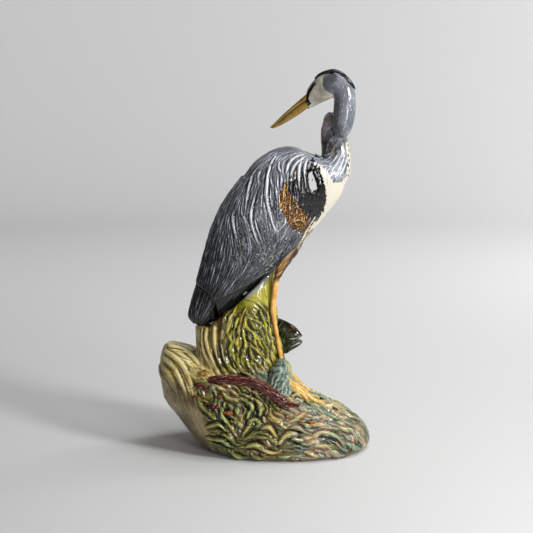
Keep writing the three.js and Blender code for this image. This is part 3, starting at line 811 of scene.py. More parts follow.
def make_ground():
    """Mound, root and stump as one skin under grass, leaves and bark."""
    stump = carved(loft(STUMP, 120, 8, power=2.4),
                   ("DIFFERENCE", plate(UNDER_TAIL, -200, 200)))
    skin = Skin("ground", [loft(MOUND, 160, 8, power=2.3), loft(ROOT, 120, 8), stump], 2.1)
    x, y, z = skin.at.T
    skin.paint["hue"] = lumps(skin.at, 40.0, 5)
    above = ease(z, 216, 236) * (x > -205)
    leafy = above * ease(x + 0.1 * (300 - z), -122, -88)
    root = np.maximum(ease(-x - 0.30 * z, 121, 135) * (z < 300),
                      ease(z, 196, 212) * ease(-x, 112, 124))
    wood = np.maximum(above, root) * (1 - leafy)
    grass = (1 - above) * (1 - root)
    sweeps, leaf_way, fold_way = Lie(SWEEPS, 200.0), Lie(LEAVES, 80.0), Lie(FOLDS, 80.0)

    def fresh():
        return swirl(RANDOM.normal(0, 0.35),
                     RANDOM.choice((-1, 1)) * RANDOM.uniform(0.6, 2.4))

    def swept():
        return swirl(RANDOM.normal(0, 0.3), RANDOM.normal(0, 1.0), sweeps)

    def hue(low, high):
        return [("hue", RANDOM.uniform(low, high))]

    def strew(places, count, width, height, length, way, moat=0.7, tips=(0.5, 0.9)):
        """Blades or plates, each of its own hue, drawn to that of its place."""
        skin.strew(
            places, count, way, length, width, height, moat, tips, step=5.0, least=4,
            marks=lambda k: [("hue", skin.paint["hue"][k] * 0.35 + RANDOM.uniform(0, 0.65))])

    near_side = (grass > 0.6) & (z > 10) & (skin.out[:, 2] > -0.3)
    strew(near_side, 1100, (4.2, 6.0), (1.6, 2.8), (16, 36), fresh)
    strew(near_side, 720, (6.5, 9.5), (3.0, 4.8), (32, 62), swept)
    strew(near_side & (x < 215), 220, (11.0, 17.0), (6.0, 9.0), (50, 100), swept, 0.8)
    for side in (-1, 1):
        for line in SWEEPS:
            skin.ridge(skin.across(line, side), 16.0, 10.0, (0.45, 0.8), 1.0, hue(0.4, 0.8))

    leaved = (leafy > 0.5) & (z < 385)
    strew(leaved, 260, (5.0, 7.5), (1.8, 3.2), (14, 34), lambda: swirl(0.0, 0.8, leaf_way))
    strew(leaved, 190, (9.5, 14.5), (4.4, 6.6), (28, 54), lambda: swirl(-0.2, 1.0, leaf_way))
    for side in (-1, 1):
        for line in LEAVES[:6]:
            skin.ridge(skin.across(line, side), RANDOM.uniform(8, 13),
                       RANDOM.uniform(3.5, 6), (0.5, 0.8), 0.6, hue(0.2, 0.9))
    strew((leafy > 0.5) & (z > 385), 150, (4.2, 6.0), (0.9, 1.9), (20, 50),
          lambda: swirl(0.3, 0.9, leaf_way))

    # The stump's bark hangs in folds that sweep out at its foot; the root's
    # folds run from its broken corner down into the mound.
    for side in (-1, 1):
        for k, line in enumerate(FOLDS[:8]):
            tall = RANDOM.uniform(4.0, 6.5) if k < 4 else RANDOM.uniform(2.4, 4.0)
            skin.ridge(skin.across(line, side), RANDOM.uniform(13, 20), tall, (0.2, 0.3),
                       0.5, hue(0.3, 0.8))
    for turn in math.pi * np.linspace(0.75, 1.25, 12):
        start = (-60 + 130 * math.cos(turn), 82 * math.sin(turn), 330)
        path = skin.follow(start, fold_way, RANDOM.uniform(80, 120))
        skin.ridge(path, RANDOM.uniform(10, 17), RANDOM.uniform(3.0, 6.0), (0.3, 0.3), 0.6,
                   hue(0.1, 0.9))
    strew((wood > 0.6) & (z > 150), 260, (4.5, 7.5), (0.9, 2.2), (24, 80),
          lambda: fold_way, 0.55, (0.4, 0.4))
    strew((wood > 0.6) & (z > 12) & (z < 200) & (x < -130), 240, (4.5, 8.0), (0.4, 1.1),
          (60, 150), lambda: fold_way, 0.6, (0.4, 0.4))
    # the bark goes brown beside the leaves, the leaves are a little paler low down, and the top of
    # the root is painted paler: a painted light from above
    skin.paint["hue"] *= 1 - above * ease(x, -140, -118) * ease(-x, 86, 112)
    skin.paint["hue"] -= 0.1 * leafy * (ease(z, 285, 325) - 0.6) * ease(-z, -395, -370)
    lit_root_top = ease(z, 222, 245) * ease(-x, 165, 190)
    skin.paint["hue"] += lit_root_top * (0.5 - skin.paint["hue"])
    # the root's broken corner
    ragged = [(-262, 278), (-276, 240), (-284, 206), (-279, 172), (-268, 128), (-240, 90)]
    skin.ridge(np.array([(a, 8, b) for a, b in smooth(ragged, 5)]), 26, 4.0, (0.3, 0.4))
    # the modelling fades out at the foot and towards the low end
    fade = ease(z, 0, 9) * (1 - 0.5 * ease(x, 205, 245))
    skin.high *= fade
    skin.deep *= fade
    # The grass is cooler to the right and round the stone. The rim is a darker brown along the
    # foot; the foot of the root is greyer, partly its own colour and partly painted shade on the
    # end turned from the light; lime is the leaf tips at the top.
    by_stone = ease(-np.hypot(x - 10, z - 205), -52, -24) * (y < 0)
    skin.finish(14, leafy=leafy, wood=wood, cool=np.maximum(ease(x, 20, 110) * grass, by_stone),
                rim=1 - ease(z, 4, 14), grain=wood * ease(67 - z - 0.55 * x, -6, 10),
                pale=soft(inside(BELLY, x, z), 5.0),
                lime=ease(z, 380, 404) * ease(x, -58, -30))
    return skin


# ---- the smaller pieces ----
def make_bill():
    """Upper and lower bill in one, parted by a drawn line."""
    lower = [[r[0], r[1] + 1.6] + r[2:] for r in BILL_LOWER]
    skin = Skin("bill", [loft(BILL_UPPER, 48, 12), loft(lower, 48, 12)], 0.8)
    x, y, z = skin.at.T
    for side in (-1, 1):
        edge = skin.across([(111, 919), (104, 917.6), (81, 901.6), (51, 877.6), (28, 858.3),
                            (17, 849.4)], side, 8)
        nostril = skin.across([(98, 923), (90, 916.5)], side, 5)
        skin.dab(edge, 2.2, "line", (0.1, 0.3))
        skin.dab(nostril, 2.2, "line")
        for path, width in ((edge, 2.2), (nostril, 2.4)):
            some, gap, _ = skin.near(path, width)
            skin.deep[some] = np.maximum(skin.deep[some], 0.7 * (1 - gap / width))
    top = np.interp(x, [12, 48, 78, 110], [850.4, 885, 911.5, 938])
    culmen = 0.66 * ease(z - top, -2.6, -1.0) * ease(-x, -70, -20)
    tip = 0.7 * ease(-x, -20, -13)
    return skin.finish(line=np.maximum(np.maximum(skin.paint["line"], culmen), tip))


def make_leg(rows, name):
    """A shank with scutes round it and a knotted heel joint."""
    return solid(name + "_glazed", limb(rows, 40, 14, lambda k, turn: (
        0.035 * math.cos(k * 22) + 0.03 * np.cos(3 * turn + k))))


def lie_of_land(x, y):
    """Height of the mound where toes and blossoms lie, clear of the stump."""
    rows = smooth(MOUND, 6)
    half = (rows[:, 2] - rows[:, 0]) / 2
    reach = (np.abs((x - rows[:, 0] - half) / half) ** 2.3
             + np.abs((y - rows[:, 4]) / rows[:, 5]) ** 2.3)
    inner = np.flatnonzero(reach < 1)
    level = rows[inner[-1], 1] if len(inner) else 0.0
    start = Vector(placed(np.array([x, y, level + 9.0])))
    hit = ground.tree.ray_cast(start, Vector((0, 0, -1)))[0]
    found = level if hit is None else drawn(hit)[2]
    return min(max(found, level - 5), level + 5)


def make_foot(side, name):
    """Four toes laid on the ground, with knuckles, and claws beside them."""
    ax, ay = LEG[-1][0] + (FAR_LEG_SHIFT if side > 0 else 0), -side * LEG[-1][1]
    sunk = 5 if side > 0 else 0
    forms, claws = [ball(ax, ay, lie_of_land(ax, ay) + 5, 11)], []
    for bearing, length, radius in TOES:
        turn = math.radians(bearing)
        rows = []
        for t in np.linspace(0, 1, 9):
            px = ax + t * length * math.cos(turn)
            py = ay + t * length * math.sin(turn)
            r = radius * (1 - 0.62 * t**1.5) * (1 + 0.14 * math.cos(t * 18.8))
            rows.append([px, py, lie_of_land(px, py) + r * 0.8 - sunk * t, r * 1.08])
        forms.append(limb(rows, 28, 5))
        tip, back = np.array(rows[-1][:3]), np.array(rows[-2][:3])
        way = (tip - back) / np.linalg.norm(tip - back)
        claws.append(limb([[*(tip + way * out + [0, 0, up]), r] for out, up, r in (
            (-3, 0.8, 3.4), (4, 1.8, 3.0), (10, 0.6, 2.0), (15, -1.8, 0.6))], 16, 5))
    skin = Skin("toes_" + name, forms, 1.4)

    def level_way(spot, normal, share):
        return slopes(normal)[0]

    skin.strew(skin.all, 260, lambda: level_way, 9, 3.0, (0.3, 0.7), 0.6, step=3.0)
    return skin.finish(0), solid("claws_" + name, joined(claws))


def make_log():
    """A dead branch, its bark in long plates, with a broken stub beside it."""
    stub = [[-186, -96, 190, 6], [-172, -108, 190, 7.5], [-150, -118, 186, 6]]
    knot = (-136, -117, 187)
    skin = Skin("branch", [limb(LOG, 40, 8), limb(stub, 32, 6), ball(*knot, 10)], 1.5)
    way = Lie([[(row[0], row[2]) for row in LOG]])
    skin.strew(skin.all, 380, lambda: way, (14, 46), (3.0, 5.5), (0.8, 2.2))
    away = np.linalg.norm(skin.at - knot, axis=1)
    return skin.finish(knot=0.8 * (1 - ease(away, 9, 14)))


def make_rock():
    """A lumpy stone, with worn edges raised on it."""
    skin = Skin("stone", [loft(ROCK, 60, 8)], 1.6)
    skin.at += skin.out * (9 * (lumps(skin.at, 19.0, 4) - 0.6))[:, None]
    skin.write()
    skin.strew(skin.all, 70, lambda: swirl(0.9, 1.6), (26, 56), (8.0, 14.0),
               (2.0, 3.8), 0.5)
    return skin.finish()


def make_leaf_bud():
    """Leaves folded round each other, ribbed from foot to tip."""
    skin = Skin("folded_leaves", [loft(LEAF_BUD, 60, 10)], 1.3)

    def upwards(spot, normal, share):
        return np.array([0.1, 0.1, 1.0])

    skin.strew(skin.all, 60, lambda: upwards, (26, 60), (4.0, 6.0), (1.0, 2.0))
    return skin.finish()


def make_pike():
    """A pike's head comes out past the stump; its body lies behind."""
    mouth = ("DIFFERENCE", plate(PIKE_MOUTH, -60, 60))
    skin = Skin("pike_glazed", [carved(loft(PIKE, 64, 10), mouth)], 1.7)
    x, y, z = skin.at.T
    along = Lie([[(row[0], (row[1] + row[3]) / 2) for row in PIKE]])
    skin.strew(x < 40, 420, lambda: along, 9, 5.0, (0.6, 1.2), step=3.0)
    for side in (-1, 1):
        for line in ([(46, 330), (36, 312), (34, 290), (44, 262)],
                     [(99, 299), (90, 295), (78, 292), (62, 290)],
                     [(97, 280), (84, 276), (66, 266)]):
            path = skin.across(line, side)
            if len(path) > 2:
                skin.ridge(path, 6.0, 2.2, (0.3, 0.3), 0.8)
    top = np.interp(x, [20, 48, 65, 79, 90, 101], [339, 337, 331, 323, 311, 297])
    back = ease(z - top, -26, -5) * ease(x, 34, 64)
    return skin.finish(back=ease(back, 0.3, 0.8))


def make_blossom(number, x, y, r):
    """A small open flower: five petals round a raised eye."""
    z = lie_of_land(x, y)
    forms = [ball(x, y, z + 0.6 * r, 0.42 * r)]
    for k in range(5):
        turn = 2 * math.pi * (k + 0.2 * number) / 5
        forms.append(ball(x + 0.62 * r * math.cos(turn), y + 0.62 * r * math.sin(turn),
                          z + 0.34 * r, 0.45 * r, 0.7))
    skin = Skin("blossom_%d" % number, forms, 0.8)
    return skin.finish(0, away=np.hypot(skin.at[:, 0] - x, skin.at[:, 1] - y) / r)


# ---- glazes ----
def srgb(code):
    """A colour written as sRGB hex, as the linear colour that nodes take."""
    parts = [int(code[i:i + 2], 16) / 255 for i in (1, 3, 5)]
    return tuple(c / 12.92 if c <= 0.04045 else ((c + 0.055) / 1.055) ** 2.4
                 for c in parts) + (1.0,)


def add(tree, kind, settings=None, links=None, out=0):
    """Adds a node, with its settings and what feeds it, and returns an output."""
    node = tree.nodes.new("ShaderNode" + kind)
    for name, value in (settings or {}).items():
        if name == "ramp":
            stops = node.color_ramp.elements
            for place, code in value[1:-1]:
                stops.new(place).color = srgb(code)
            for stop, (place, code) in ((stops[0], value[0]), (stops[-1], value[-1])):
                stop.position = place
                stop.color = srgb(code)
        else:
            setattr(node, name, value)
    for name, value in (links or {}).items():
        if isinstance(value, bpy.types.NodeSocket):
            tree.links.new(value, node.inputs[name])
        else:
            node.inputs[name].default_value = value
    return node.outputs[out]


def glaze(name, roughness=0.12):
    """A new material with a Principled shader: fired glaze over earthenware."""
    material = bpy.data.materials.new(name)
    material.use_nodes = True
    tree = material.node_tree
    shader = tree.nodes["Principled BSDF"].inputs
    shader["Roughness"].default_value = roughness
    shader["IOR"].default_value = 1.5  # a fired glaze is a glass
    return material, tree, shader


def plumage_glaze():
    """Grey glaze, dark where it pools, thin and pale on each raised feather."""
    material, tree, shader = glaze("grey_and_cream_glaze", 0.12)
    at = add(tree, "TexCoord", out="Object")
    tone, relief, stroke, fleck, brown, face, plume, cream, ochre, black = [
        add(tree, "Attribute", {"attribute_name": name}, out="Fac")
        for name in ("tone", "relief", "stroke", "fleck", "brown", "face", "plume",
                     "cream", "ochre", "black")]
    # ripples of 5 mm in the glaze, and clouds of 4 cm in its tone
    fine = add(tree, "TexNoise", None, {
        "Vector": at, "Scale": 1 / (5.26 * MM), "Detail": 4.0})
    cloud = add(tree, "TexNoise", None, {
        "Vector": at, "Scale": 1 / (38.5 * MM), "Detail": 3.0})
    deep = -0.275
    for value, weight in ((tone, 1.0), (relief, -0.24), (stroke, 0.075), (fine, 0.26),
                          (cloud, 0.30), (plume, -0.10)):
        deep = add(tree, "Math", {"operation": "MULTIPLY_ADD"},
                   {0: value, 1: weight, 2: deep})
    fleck = add(tree, "Math", {"operation": "MULTIPLY"}, {0: fleck, 1: 0.6})
    # cream, ochre and black end in ragged edges
    marks = []
    for field in (cream, ochre, black):
        field = add(tree, "Math", {"operation": "MULTIPLY_ADD"}, {0: fine, 1: 0.34, 2: field})
        marks.append(add(tree, "MapRange", {"interpolation_type": "SMOOTHSTEP"},
                         {"Value": field, "From Min": 0.62, "From Max": 0.69}))
    cream, ochre, black = marks
    # painted shade: the side of the head, turned from the light, is a greyer, mottled cream
    bare = add(tree, "Math", {"operation": "SUBTRACT", "use_clamp": True},
               {0: cream, 1: black})
    face = add(tree, "MapRange", {"interpolation_type": "SMOOTHSTEP"},
               {"Value": face, "From Min": 0.35, "From Max": 0.5, "To Max": 0.92})
    face = add(tree, "Math", {"operation": "MULTIPLY"}, {0: face, 1: bare})
    thin = add(tree, "MapRange", {"interpolation_type": "SMOOTHSTEP"},
               {"Value": relief, "From Min": 0.9, "From Max": 2.1, "To Max": 0.95})
    thin = add(tree, "Math", {"operation": "MULTIPLY"}, {0: thin, 1: plume})
    colour = add(tree, "ValToRGB", {"ramp": [
        (0.0, "#e3e5ea"), (0.2, "#aeb2bb"), (0.4, "#7c8088"), (0.6, "#515358"),
        (0.8, "#2f3032"), (1.0, "#151614")]}, {"Fac": deep})
    for share, by, ramp in (
            (brown, deep, [(0.0, "#d9a45c"), (0.35, "#a97a40"), (0.6, "#6c5033"),
                           (0.9, "#2a2119")]),
            (fleck, deep, [(0.0, "#a8a393"), (1.0, "#a8a393")]),
            (cream, deep, [(0.0, "#dfdacc"), (0.5, "#d6d0be"), (0.8, "#d0c6a8"),
                           (1.0, "#8b8062")]),
            (ochre, deep, [(0.0, "#eec688"), (0.2, "#c68a34"), (0.38, "#80521e"),
                           (0.56, "#1d140c")]),
            (black, deep, [(0.0, "#1c1c1d"), (0.4, "#101010"), (0.8, "#090909"),
                           (1.0, "#050505")]),
            (face, cloud, [(0.36, "#6d6a60"), (0.5, "#9a9584"), (0.62, "#bab5a4")]),
            (thin, deep, [(0.0, "#d3d5d9"), (1.0, "#d3d5d9")])):
        coat = add(tree, "ValToRGB", {"ramp": ramp}, {"Fac": by})
        colour = add(tree, "Mix", {"data_type": "RGBA"}, {0: share, 6: colour, 7: coat}, 2)
    tree.links.new(colour, shader["Base Color"])
    # the black is the glossiest and smoothest
    gloss = add(tree, "MapRange", None, {"Value": black, "To Min": 0.12, "To Max": 0.05})
    tree.links.new(gloss, shader["Roughness"])
    ripple = add(tree, "MapRange", None, {"Value": black, "To Min": 0.35, "To Max": 0.06})
    bump = add(tree, "Bump", None, {"Height": fine, "Strength": ripple, "Distance": 0.0008})
    tree.links.new(bump, shader["Normal"])
    return material


def ground_glaze():
    """Coloured glazes run together: thin and pale on each crest, dark in the hollows."""
    material, tree, shader = glaze("grass_and_bark_glaze", 0.05)
    at = add(tree, "TexCoord", out="Object")
    hue, relief, leafy, wood, rim, lime, cool, grain, pale = [
        add(tree, "Attribute", {"attribute_name": name}, out="Fac")
        for name in ("hue", "relief", "leafy", "wood", "rim", "lime", "cool", "grain", "pale")]
    # ripples of 8 mm in the glaze, and patches of 6 cm in its colour
    fine = add(tree, "TexNoise", None, {
        "Vector": at, "Scale": 1 / (7.69 * MM), "Detail": 4.0})
    cloud = add(tree, "TexNoise", None, {
        "Vector": at, "Scale": 1 / (55.6 * MM), "Detail": 3.0})
    shade = add(tree, "Math", {"operation": "MULTIPLY_ADD"}, {0: cloud, 1: 0.9, 2: -0.45})
    shade = add(tree, "Math", {"operation": "ADD"}, {0: hue, 1: shade})
    height = add(tree, "Math", {"operation": "MULTIPLY_ADD"}, {0: fine, 1: 1.8, 2: relief})
    height = add(tree, "Math", {"operation": "MULTIPLY_ADD"}, {0: wood, 1: 0.2, 2: height})
    crest = add(tree, "MapRange", {"interpolation_type": "SMOOTHSTEP"},
                {"Value": height, "From Min": 2.6, "From Max": 5.6, "To Max": 0.5})
    hollow = add(tree, "MapRange", {"interpolation_type": "SMOOTHSTEP"},
                 {"Value": height, "From Min": 1.7, "From Max": 0.0})
    bare = add(tree, "Math", {"operation": "MULTIPLY_ADD"}, {0: lime, 1: -0.75, 2: 1.0})
    hollow = add(tree, "Math", {"operation": "MULTIPLY"}, {0: hollow, 1: bare})
    # what pools in the hollows: soil, clay among the cool grass, dark green, bark
    pool = add(tree, "ValToRGB", {"ramp": [
        (0.35, "#1c180c"), (0.5, "#3b2f1a"), (0.6, "#6c5844"), (0.7, "#2b2313")]},
        {"Fac": cloud})
    for share, ramp in (
            (cool, [(0.38, "#221e14"), (0.5, "#625040"), (0.6, "#987e6c"), (0.75, "#382f22")]),
            (leafy, [(0.0, "#2b280a"), (1.0, "#2b280a")]),
            (wood, [(0.4, "#4a3916"), (0.6, "#86702f")])):
        coat = add(tree, "ValToRGB", {"ramp": ramp}, {"Fac": cloud})
        pool = add(tree, "Mix", {"data_type": "RGBA"}, {0: share, 6: pool, 7: coat}, 2)
    pale_crest = add(tree, "ValToRGB", {"ramp": [(0.0, "#cfd08c"), (1.0, "#e8daa8")]},
                     {"Fac": wood})
    colour = add(tree, "ValToRGB", {"ramp": [
        (0.0, "#3f4a1e"), (0.2, "#5c6426"), (0.36, "#4b5a34"), (0.5, "#868136"),
        (0.64, "#6a6430"), (0.78, "#a88c48"), (0.9, "#c1ac7c"), (1.0, "#8a6a44")]},
        {"Fac": shade})
    for share, by, ramp in (
            (cool, shade, [(0.0, "#414e28"), (0.2, "#626c36"), (0.38, "#3f5e52"),
                           (0.5, "#809279"), (0.64, "#a5927a"), (0.78, "#ab904c"),
                           (0.9, "#c6b6a0"), (1.0, "#866850")]),
            (leafy, shade, [(0.0, "#37300c"), (0.25, "#665f14"), (0.45, "#908a22"),
                            (0.62, "#b6ac34"), (0.8, "#7a6226"), (1.0, "#c2b254")]),
            (lime, shade, [(0.1, "#a09834"), (0.4, "#bdb54c"), (0.8, "#d4ce76")]),
            (wood, shade, [(0.0, "#54420f"), (0.22, "#b09a54"), (0.5, "#eadba0"),
                           (0.68, "#baa152"), (0.85, "#e2d4a2"), (1.0, "#86662a")]),
            # the foot of the root, greyer: partly its own colour and partly painted shade
            (grain, cloud, [(0.3, "#6a5a3a"), (0.5, "#8f8160"), (0.7, "#b0a27c")]),
            (crest, pale_crest, None),
            (hollow, pool, None),
            (pale, cloud, [(0.35, "#6f726c"), (0.6, "#9c9f94")]),
            (rim, cloud, [(0.0, "#6e5e4c"), (1.0, "#6e5e4c")])):
        # one without a ramp is a colour already
        coat = add(tree, "ValToRGB", {"ramp": ramp}, {"Fac": by}) if ramp else by
        colour = add(tree, "Mix", {"data_type": "RGBA"}, {0: share, 6: colour, 7: coat}, 2)
    tree.links.new(colour, shader["Base Color"])
    bump = add(tree, "Bump", None, {"Height": fine, "Strength": 0.14, "Distance": 0.001})
    tree.links.new(bump, shader["Normal"])
    return material


def drifting_glaze(name, roughness, size, ramp, strength=0.3, distance=0.0008):
    """A glaze that drifts between colours in soft clouds, size mm wide.
    Its tree, shader, place and colour come with it, for more to be laid on."""
    material, tree, shader = glaze(name, roughness)
    at = add(tree, "TexCoord", out="Object")
    cloud = add(tree, "TexNoise", None, {
        "Vector": at, "Scale": 1 / (size * MM), "Detail": 5.0})
    colour = add(tree, "ValToRGB", {"ramp": ramp}, {"Fac": cloud})
    tree.links.new(colour, shader["Base Color"])
    bump = add(tree, "Bump", None, {"Height": cloud, "Strength": strength,
                                    "Distance": distance})
    tree.links.new(bump, shader["Normal"])
    return material, tree, shader, at, colour


def bill_glaze():
    """Ochre glaze, satin, with a dark line drawn along the gape."""
    material, tree, shader, _, colour = drifting_glaze("ochre_bill_glaze", 0.2, 18.2, [
        (0.3, "#6a5324"), (0.5, "#886c2f"), (0.7, "#9f823d")], 0.3, 0.0006)
    line = add(tree, "Attribute", {"attribute_name": "line"}, out="Fac")
    line = add(tree, "MapRange", {"interpolation_type": "SMOOTHSTEP"},
               {"Value": line, "From Min": 0.45, "From Max": 0.65, "To Max": 0.85})
    colour = add(tree, "Mix", {"data_type": "RGBA"},
                 {0: line, 6: colour, 7: srgb("#2f2612")}, 2)
    tree.links.new(colour, shader["Base Color"])
    return material


def leg_glaze():
    """Orange glaze, browner on the side turned from the light, partly brown glaze and partly
    painted shade, and dark brown at the top where it meets the thigh.
    """
    material, tree, shader, at, colour = drifting_glaze("orange_leg_glaze", 0.14, 22.2, [
        (0.3, "#c58a36"), (0.5, "#e5ad55"), (0.7, "#f4cd8c")], 0.4, 0.001)
    normal = add(tree, "NewGeometry", out="Normal")
    turned_from_light = add(tree, "SeparateXYZ", None, {"Vector": normal}, "X")
    height = add(tree, "SeparateXYZ", None, {"Vector": at}, "Z")
    for value, low, high, most, code in ((turned_from_light, -0.3, -0.9, 0.65, "#7a5327"),
                                         (height, 0.445, 0.466, 0.9, "#3a2a1c")):
        share = add(tree, "MapRange", {"interpolation_type": "SMOOTHSTEP"},
                    {"Value": value, "From Min": low, "From Max": high, "To Max": most})
        colour = add(tree, "Mix", {"data_type": "RGBA"},
                     {0: share, 6: colour, 7: srgb(code)}, 2)
    tree.links.new(colour, shader["Base Color"])
    return material


def pooled_glaze(name, ramp, lift=0.22, roughness=0.12, distance=0.0008, top=None):
    """A glaze that runs dark into the hollows and thin over the ridges. Top is
    another laid over it, by a number kept on the skin: (number, ramp)."""
    material, tree, shader = glaze(name, roughness)
    at = add(tree, "TexCoord", out="Object")
    relief = add(tree, "Attribute", {"attribute_name": "relief"}, out="Fac")
    # it varies over 11 mm
    fine = add(tree, "TexNoise", None, {
        "Vector": at, "Scale": 1 / (11.1 * MM), "Detail": 4.0})
    thin = add(tree, "Math", {"operation": "MULTIPLY_ADD"}, {0: relief, 1: lift, 2: -0.05})
    thin = add(tree, "Math", {"operation": "ADD"}, {0: thin, 1: fine})
    colour = add(tree, "ValToRGB", {"ramp": ramp}, {"Fac": thin})
    if top:
        number, ramp = top
        share = add(tree, "Attribute", {"attribute_name": number}, out="Fac")
        coat = add(tree, "ValToRGB", {"ramp": ramp}, {"Fac": thin})
        colour = add(tree, "Mix", {"data_type": "RGBA"}, {0: share, 6: colour, 7: coat}, 2)
    tree.links.new(colour, shader["Base Color"])
    bump = add(tree, "Bump", None, {"Height": fine, "Strength": 0.4, "Distance": distance})
    tree.links.new(bump, shader["Normal"])
    return material


def blossom_glaze(number, petal, eye):
    """Iron-red or ochre glaze on the petals, round an eye of another colour."""
    material, tree, shader = glaze("blossom_glaze_%d" % number, 0.12)
    away = add(tree, "Attribute", {"attribute_name": "away"}, out="Fac")
    colour = add(tree, "ValToRGB", {"ramp": [
        (0.0, eye), (0.3, eye), (0.5, petal), (1.0, petal)]}, {"Fac": away})
    tree.links.new(colour, shader["Base Color"])
    return material


# ---- the pieces, each with its glaze ----
def dress(thing, material, slot, *nodes):
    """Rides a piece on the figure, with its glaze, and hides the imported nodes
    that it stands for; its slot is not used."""
    thing.data.materials.clear()
    thing.data.materials.append(material)
    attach(thing, "root")
    if nodes:
        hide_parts(*nodes)


dress(make_bird(), plumage_glaze(), "grey_glaze", "head", "neck_upper", "neck_middle",
      "neck_lower", "trunk", "wing_right", "wing_left", "tail", "thigh_right", "thigh_left")
ground = make_ground()
dress(ground.thing, ground_glaze(), "grass_glaze", "mound", "stump", "root")
dress(make_bill(), bill_glaze(), "bill_glaze", "bill_upper", "bill_lower")

# Crest, eyes and claws: black glaze, glossy, with a faint brown drift.
black_glaze = drifting_glaze("black_glaze", 0.1, 25, [
    (0.3, "#0b0b0b"), (0.5, "#161616"), (0.7, "#262626")])[0]
dress(solid("crest_glazed", loft(CREST, 48, 10)), black_glaze, "black_glaze", "crest")
for side, name in ((1, "eye_right"), (-1, "eye_left")):
    x, y, z = EYE + [0, side * EYE_OUT, 0]
    dress(solid(name + "_glazed", ball(x, y, z, 4.6)), black_glaze, "black_glaze", name)

# Legs and toes: orange glaze, pooled brown between the scales of the toes.
orange = leg_glaze()
far = [[x + FAR_LEG_SHIFT, y, z, r] for x, y, z, r in mirrored(LEG)]
for name, rows in (("leg_right", LEG), ("leg_left", far)):
    dress(make_leg(rows, name), orange, "ochre_glaze", name)
toe_glaze = pooled_glaze("orange_toe_glaze", [
    (0.1, "#5a4424"), (0.36, "#bd9346"), (0.55, "#e6bb68"), (0.85, "#f6e2b4")])
for side, name in ((-1, "foot_right"), (1, "foot_left")):
    foot, claws = make_foot(side, name)
    dress(foot, toe_glaze, "ochre_glaze", name)
    dress(claws, black_glaze, "black_glaze")

# Branch: manganese-brown glaze over bark, pink where it is thin.
dress(make_log(), pooled_glaze("red_brown_bark_glaze", [
    (0.18, "#0e0706"), (0.44, "#451a15"), (0.68, "#7a3a2c"), (0.95, "#bb8c7a")],
    0.34, 0.05, 0.0005, ("knot", [(0.0, "#77745a"), (1.0, "#77745a")])), "bark_glaze", "log")
# Stone: blue-green glaze that breaks to cream on its edges, the cream partly painted glints.
dress(make_rock(), pooled_glaze("blue_green_stone_glaze", [
    (0.1, "#1f241c"), (0.34, "#4b5b51"), (0.54, "#788879"), (0.74, "#a2ab98"),
    (0.95, "#d6d5be")], 0.15, 0.05, 0.0004), "rock_glaze", "rock")
dress(make_leaf_bud(), pooled_glaze("pale_green_leaf_glaze", [
    (0.1, "#3b3c1a"), (0.4, "#84854a"), (0.62, "#b1af88"), (0.95, "#d6d3b6")], 0.2),
    "grass_glaze", "leaf_bud")
# Pike: green-black flanks under an orange-brown back; the flanks pale to grey-white on their
# ridges, partly thin glaze and partly painted glints.
dress(make_pike(), pooled_glaze("brown_green_pike_glaze", [
    (0.1, "#0e100c"), (0.42, "#2b3128"), (0.6, "#56604f"), (0.85, "#b6bfb2")],
    0.2, 0.08, top=("back", [(0.1, "#100a04"), (0.45, "#281908"), (0.65, "#583a14"),
                             (0.95, "#94683a")])), "pike_glaze", "pike")

# Blossoms in the grass, each at (x, y), with its radius, petals and eye.
BLOSSOMS = [
    (-157, -91, 14, "#a07a30", "#6a1812"), (-130, -136, 15, "#48100e", "#8a5a24"),
    (-93, -143, 12, "#96561f", "#32100c"), (-119, -125, 10, "#6e3418", "#2c0e0a"),
    (-179, -118, 8, "#6a1f16", "#8a4420"), (-148, -130, 9, "#50130f", "#9a7e30"),
    (123, -133, 12, "#94684a", "#2c1a10"), (97, -136, 10, "#9c6f4c", "#3a2014"),
    (41, -131, 9, "#9a735c", "#3c1c14"), (58, -137, 8, "#80503a", "#c0a070"),
]
for number, (x, y, r, petal, eye) in enumerate(BLOSSOMS, 1):
    packed = ["berry_%d" % number] if number <= 3 else []
    dress(make_blossom(number, x, y, r), blossom_glaze(number, petal, eye), "red_glaze",
          *packed)


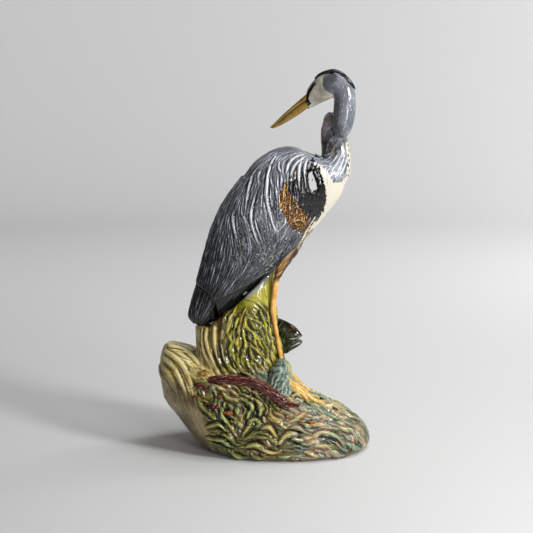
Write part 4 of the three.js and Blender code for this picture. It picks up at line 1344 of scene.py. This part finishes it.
# ---- room, lights, camera ----
def make_room():
    """A round studio cove: a flat floor that curves up into its wall, its paper painted a darker
    grey behind the camera and off to the sides: a painted shade for the unlit room."""
    turn = math.pi / 2 * np.arange(1, 13) / 12
    reach = [*np.arange(0.5, 5, 0.5), *(4.5 + 1.7 * np.sin(turn)), 6.2]
    level = [*np.zeros(9), *(1.7 - 1.7 * np.cos(turn)), 4.5]
    points, faces = tube(np.array([[
        (r * math.cos(a), r * math.sin(a), h)
        for a in np.linspace(0, 2 * math.pi, 96, endpoint=False)]
        for r, h in zip(reach, level)]))
    cove = solid("cove", (drawn(points), faces[:-1]))  # open at the top
    paper, tree, shader = glaze("matt_paper", 0.9)
    at = add(tree, "TexCoord", out="Object")
    x = add(tree, "SeparateXYZ", None, {"Vector": at}, "X")
    y = add(tree, "SeparateXYZ", None, {"Vector": at}, "Y")
    beside = add(tree, "Math", {"operation": "ABSOLUTE"}, {0: x})
    beside = add(tree, "Math", {"operation": "MULTIPLY_ADD"}, {0: y, 1: -0.24, 2: beside})
    beside = add(tree, "MapRange", {"interpolation_type": "SMOOTHSTEP"},
                 {"Value": beside, "From Min": 1.1, "From Max": 2.0})
    behind = add(tree, "MapRange", {"interpolation_type": "SMOOTHSTEP"},
                 {"Value": y, "From Min": -1.2, "From Max": -2.8})
    # painted shade: the paper greys where the room would be unlit
    dark = add(tree, "Math", {"operation": "MAXIMUM"}, {0: behind, 1: beside})
    colour = add(tree, "Mix", {"data_type": "RGBA"},
                 {0: dark, 6: srgb("#d9d9d9"), 7: srgb("#999999")}, 2)
    tree.links.new(colour, shader["Base Color"])
    cove.data.materials.append(paper)


def aimed(name, data, place, aim):
    """An object at a place, looking at another."""
    thing = bpy.data.objects.new(name, data)
    thing.location = place
    way = Vector(aim) - Vector(place)
    thing.rotation_euler = way.to_track_quat("-Z", "Y").to_euler()
    bpy.context.scene.collection.objects.link(thing)
    return thing


make_room()
for name, place, aim, size, power in (
        ("key", (2.45, -1.75, 1.75), (0, 0, 0.5), (0.6, 0.8), 81),
        ("front_right", (1.56, -2.92, 0.86), (0.1, 0, 0.7), (0.75, 0.85), 33),
        ("top", (1.0, 0.1, 3.2), (0, 0, 0.4), (1.6, 1.6), 42),
        ("wall", (3.2, 1.8, 2.8), (1.8, 6.0, 0.6), (1.5, 1.5), 150),
        ("wall_left", (-2.6, 1.6, 2.8), (-2.0, 6.0, 0.8), (1.5, 1.5), 32),
        ("wall_front", (0.0, -3.0, 3.0), (0.6, -6.0, 0.9), (1.5, 1.5), 26)):
    softbox = bpy.data.lights.new(name, "AREA")
    softbox.shape = "RECTANGLE"
    softbox.size, softbox.size_y = size
    softbox.energy = power
    aimed(name, softbox, place, aim).visible_camera = False
world = bpy.data.worlds.new("air")
bpy.context.scene.world = world
world.use_nodes = True
air = world.node_tree.nodes["Background"].inputs
air["Color"].default_value = srgb("#ffffff")
air["Strength"].default_value = 0.15
bpy.context.scene.view_settings.view_transform = "Standard"

lens = bpy.data.cameras.new("camera")
lens.lens = 85
lens.sensor_width = 36
bpy.context.scene.camera = aimed("camera", lens, (0.0045, -3.270, 1.050),
                                 (0.0045, 0.0, 0.485))
